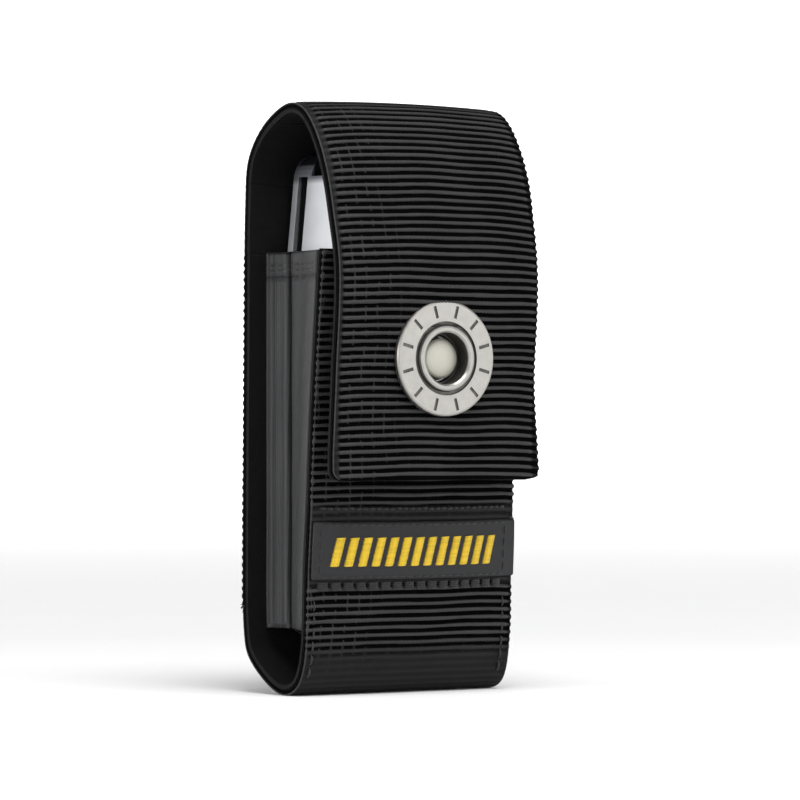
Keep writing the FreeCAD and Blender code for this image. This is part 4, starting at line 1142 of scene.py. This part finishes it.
class SHEATH_OT_stitching(bpy.types.Operator):
    """Sew the hems, the label's edges and the rows above and below it"""

    bl_idname = "sheath.stitching"
    bl_label = "Stitching"

    def execute(self, context):
        colours = context.scene.sheath_colours
        length = context.scene.sheath_sizes.stitch_length / MM
        thread = made_once("seam thread", thread_finish, "seam thread", colours.thread, 0.5)

        for side, name in ((-1, "left"), (1, "right")):
            lines = []
            for drop in (2.7, 3.8):
                line = smooth_path(panel_section(MOUTH - drop))
                tangent = np.gradient(line, axis=0)
                tangent /= np.linalg.norm(tangent, axis=1)[:, None]
                outer = line + np.stack([tangent[:, 1], -tangent[:, 0]], 1) * 0.52
                start = 8
                while start + length * 10 < len(line) - 6:
                    index = np.linspace(start, start + length * 9, 7).astype(int)
                    dip = 0.3 * np.linspace(-1, 1, 7) ** 4
                    inward = np.stack([-tangent[index, 1], tangent[index, 0]], 1) * dip[:, None]
                    place = outer[index] + inward
                    lines.append(world(side * place[:, 0], place[:, 1], np.full(7, MOUTH - drop)))
                    start += length * 11
            sewn(f"hem_stitches_{name}", lines, (side, 0, 0), 0.17, thread)

        lines = []
        half = FRONT_HALF - 1.4
        for x in (-half, half):
            lines += seam((x, LABEL_LOW + 0.9), (x, LABEL_HIGH - 0.9), length * 1.1,
                          lambda u, v, out: front_stitch(u, v, 0.70 + out), length * 0.9)
        for height in (LABEL_LOW + 0.55, LABEL_HIGH - 0.55):
            lines += seam((-half, height), (half, height), length * 0.9,
                          lambda u, v, out: front_stitch(u, v, 0.68 + out), length * 0.78)
        sewn("label_stitches", lines, (0, -1, 0), 0.16, thread)

        lines = []
        for x in np.arange(-FRONT_HALF + 1.2, FRONT_HALF - 2.4, 2.9):
            for row in (-0.62, -0.2, 0.22, 0.64):
                height = LABEL_LOW - 1.45 + row
                lines.append(front_thread(x, 1.25, height, 0.10))
        for x in np.arange(-FRONT_HALF + 1.2, FRONT_HALF - 2.4, 1.6):
            height = LABEL_HIGH + 2.7 + 0.12 * scatter(x * 10, 7)
            lines.append(front_thread(x, 0.65, height, 0.02))
        sewn("bar_stitches", lines, (0, -1, 0), 0.24, thread)

        lines = []
        for side in (-1, 1):
            def edge_place(inset, s, out, side=side):
                x = side * (float(pouch_half(s)) - inset)
                crown = float(pouch_rise(s)) * (1.0 - (x / float(pouch_half(s))) ** 2)
                return pouch.surface(s, x, crown, out - 0.06)

            first = (1.5, front_length(LABEL_LOW - 4.0))
            lines += seam(first, (1.5, front_length(5.0)), length * 1.2, edge_place, length)
        sewn("pouch_edge_stitches", lines, (0, -0.35, -0.9), 0.2, thread)

        source = np.random.default_rng(8)
        lines = []
        right_end = front_stitch(FRONT_HALF, LABEL_HIGH + 0.1, 0.3) / MM
        for x, y, z in ((-BACK_HALF - 0.4, BACK_Y - 1.6, 19.3), tuple(right_end)):
            outward = math.copysign(1.0, x)
            for _ in range(5):
                lift = source.uniform(-0.8, 0.8)
                reach = source.uniform(0.9, 1.5)
                sway = source.uniform(-0.5, 0.5)
                t = np.linspace(0, 1, 7)
                rise = z + lift * t * t + 0.3 * np.sin(3 * t)
                lines.append(np.stack([x + outward * reach * t, y + sway * t, rise], 1) * MM)
        sewn("thread_ends", lines, (0, 0, 1), 0.11, thread)
        return {"FINISHED"}


class SHEATH_OT_snap(bpy.types.Operator):
    """Finish the snap's metal parts"""

    bl_idname = "sheath.snap"
    bl_label = "Snap"

    def execute(self, context):
        nickel = made_once("satin nickel", snap_finish, context.scene.sheath_colours.nickel)
        steel = context.scene.sheath_colours.steel
        spring = made_once("spring wire", steel_finish, "spring wire", steel, 0.22, 3.0, 0.3)
        for name in ("snap_ring", "snap_eyelet", "snap_socket", "stud_rivet"):
            dress(frame["nodes"][name], nickel)
        stud = made_once("stud steel", steel_finish, "stud steel", (0.50, 0.49, 0.43, 1.0), 0.44, 1.4, 0.2)
        dress(frame["nodes"]["snap_stud"], stud)
        dress(frame["nodes"]["snap_spring"], spring)
        return {"FINISHED"}


class SHEATH_OT_tool(bpy.types.Operator):
    """Finish the closed tool's handles, jaws, blades and pins"""

    bl_idname = "sheath.tool"
    bl_label = "Multi tool"

    def execute(self, context):
        steel = context.scene.sheath_colours.steel
        # The handles' steel is a lit copy, toned lighter as painted light on their outer faces; the blades'
        # steel is toned far darker as painted shade for the slot they lie in.
        handle = made_once("ground handle steel", handle_finish, toned(steel, 1.25, 0.9))
        blade = made_once("blade steel", steel_finish, "blade steel",
                          toned(steel, 0.22), 0.24, 4.0, 0.8)
        jaw = made_once("forged jaw steel", steel_finish, "forged jaw steel",
                        toned(steel, 0.8), 0.34, 0.6, 0.3)
        pin = made_once("pin steel", steel_finish, "pin steel", steel, 0.24, 1.2, 0.4)
        groups = (
            (handle, ("handle_left", "handle_right")),
            (jaw, ("plier_jaw_left", "plier_jaw_right")),
            (blade, ("knife_blade", "saw_blade", "large_screwdriver", "small_screwdriver", "can_opener",
                     "phillips_driver", "bottle_opener", "awl")),
            (pin, ("handle_pivot_pin_left", "handle_pivot_pin_right", "plier_pivot_pin",
                   "implement_axle_left", "implement_axle_right")),
        )
        for material, names in groups:
            for name in names:
                dress(frame["nodes"][name], material)
        return {"FINISHED"}


class SHEATH_OT_stage(bpy.types.Operator):
    """Set up the floor, the studio lights and the camera"""

    bl_idname = "sheath.stage"
    bl_label = "Stage"

    def execute(self, context):
        turn = np.arange(96) * 2 * math.pi / 96
        ground_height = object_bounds()[0][2]
        rim = FLOOR_RADIUS * np.stack([np.cos(turn), np.sin(turn)], 1)
        ring = np.hstack([rim, np.full((len(turn), 1), ground_height)])
        floor = mesh_piece("floor", ring, [np.arange(96)[None]], smooth=False)
        dress(floor, made_once("pale floor", floor_finish, context.scene.sheath_colours.floor))
        after = np.roll(np.arange(96), -1)
        wall = mesh_piece("surround", np.vstack([ring, ring + [0, 0, WALL_HEIGHT]]),
                          [np.stack([np.arange(96), np.arange(96) + 96, after + 96, after], 1)])
        dress(wall, made_once("white surround", surround_finish))
        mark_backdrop(floor, wall)
        world_light = bpy.data.worlds.new("studio")
        world_light.use_nodes = True
        ground = world_light.node_tree.nodes["Background"]
        ground.inputs["Color"].default_value = (1.0, 1.0, 1.0, 1.0)
        ground.inputs["Strength"].default_value = 0.32
        context.scene.world = world_light
        context.scene.view_settings.view_transform = "Standard"
        centre = Vector((0.0, 0.0, 0.065))
        lamps = (
            ("top softbox", (-0.10, -0.42, 0.90), 0.60, 8.5),
            ("left softbox", (-1.00, 0.06, 0.30), 0.45, 3.2),
            ("front fill", (0.55, -1.00, 0.45), 0.60, 1.6),
        )
        for name, place, width, power in lamps:
            light = bpy.data.lights.new(name, "AREA")
            light.shape = "SQUARE"
            light.size = width
            light.energy = power
            lamp = bpy.data.objects.new(name, light)
            lamp.location = place
            lamp.rotation_mode = "QUATERNION"
            lamp.rotation_quaternion = (Vector(place) - centre).to_track_quat("Z", "Y")
            context.scene.collection.objects.link(lamp)
        camera = bpy.data.cameras.new("camera")
        camera.sensor_width = 36.0
        camera.lens = CAMERA_LENS
        camera.shift_x, camera.shift_y = CAMERA_SHIFT
        camera.clip_start = 0.05
        camera.clip_end = 30.0
        holder = bpy.data.objects.new("camera", camera)
        turn = math.radians(CAMERA_TURN)
        away = Vector((math.sin(turn), -math.cos(turn), 0.0))
        holder.location = away * CAMERA_AWAY + Vector((0, 0, CAMERA_HEIGHT))
        holder.rotation_mode = "QUATERNION"
        holder.rotation_quaternion = away.to_track_quat("Z", "Y")
        context.scene.collection.objects.link(holder)
        context.scene.camera = holder
        return {"FINISHED"}


class SHEATH_PT_pieces(bpy.types.Panel):
    """Lists the sheath's pieces"""

    bl_idname = "SHEATH_PT_pieces"
    bl_label = "Belt sheath"
    bl_space_type = "VIEW_3D"
    bl_region_type = "UI"
    bl_category = "Sheath"

    def draw(self, context):
        layout = self.layout
        for group in (context.scene.sheath_colours, context.scene.sheath_sizes):
            for name in group.__annotations__:
                layout.prop(group, name)
        for step in STEPS:
            layout.operator(step.bl_idname)


STEPS = (
    SHEATH_OT_webbing,
    SHEATH_OT_lining,
    SHEATH_OT_side_panels,
    SHEATH_OT_label,
    SHEATH_OT_belt_loop,
    SHEATH_OT_stitching,
    SHEATH_OT_snap,
    SHEATH_OT_tool,
    SHEATH_OT_stage,
)
CLASSES = (SheathColours, SheathSizes) + STEPS + (SHEATH_PT_pieces,)


def register():
    for item in CLASSES:
        bpy.utils.register_class(item)
    bpy.types.Scene.sheath_colours = bpy.props.PointerProperty(type=SheathColours)
    bpy.types.Scene.sheath_sizes = bpy.props.PointerProperty(type=SheathSizes)


def unregister():
    del bpy.types.Scene.sheath_sizes
    del bpy.types.Scene.sheath_colours
    for item in reversed(CLASSES):
        bpy.utils.unregister_class(item)


def main():
    register()
    bpy.ops.sheath.webbing()
    bpy.ops.sheath.lining()
    bpy.ops.sheath.side_panels()
    bpy.ops.sheath.label()
    bpy.ops.sheath.belt_loop()
    bpy.ops.sheath.stitching()
    bpy.ops.sheath.snap()
    bpy.ops.sheath.tool()
    bpy.ops.sheath.stage()


if __name__ == "__main__":
    main()
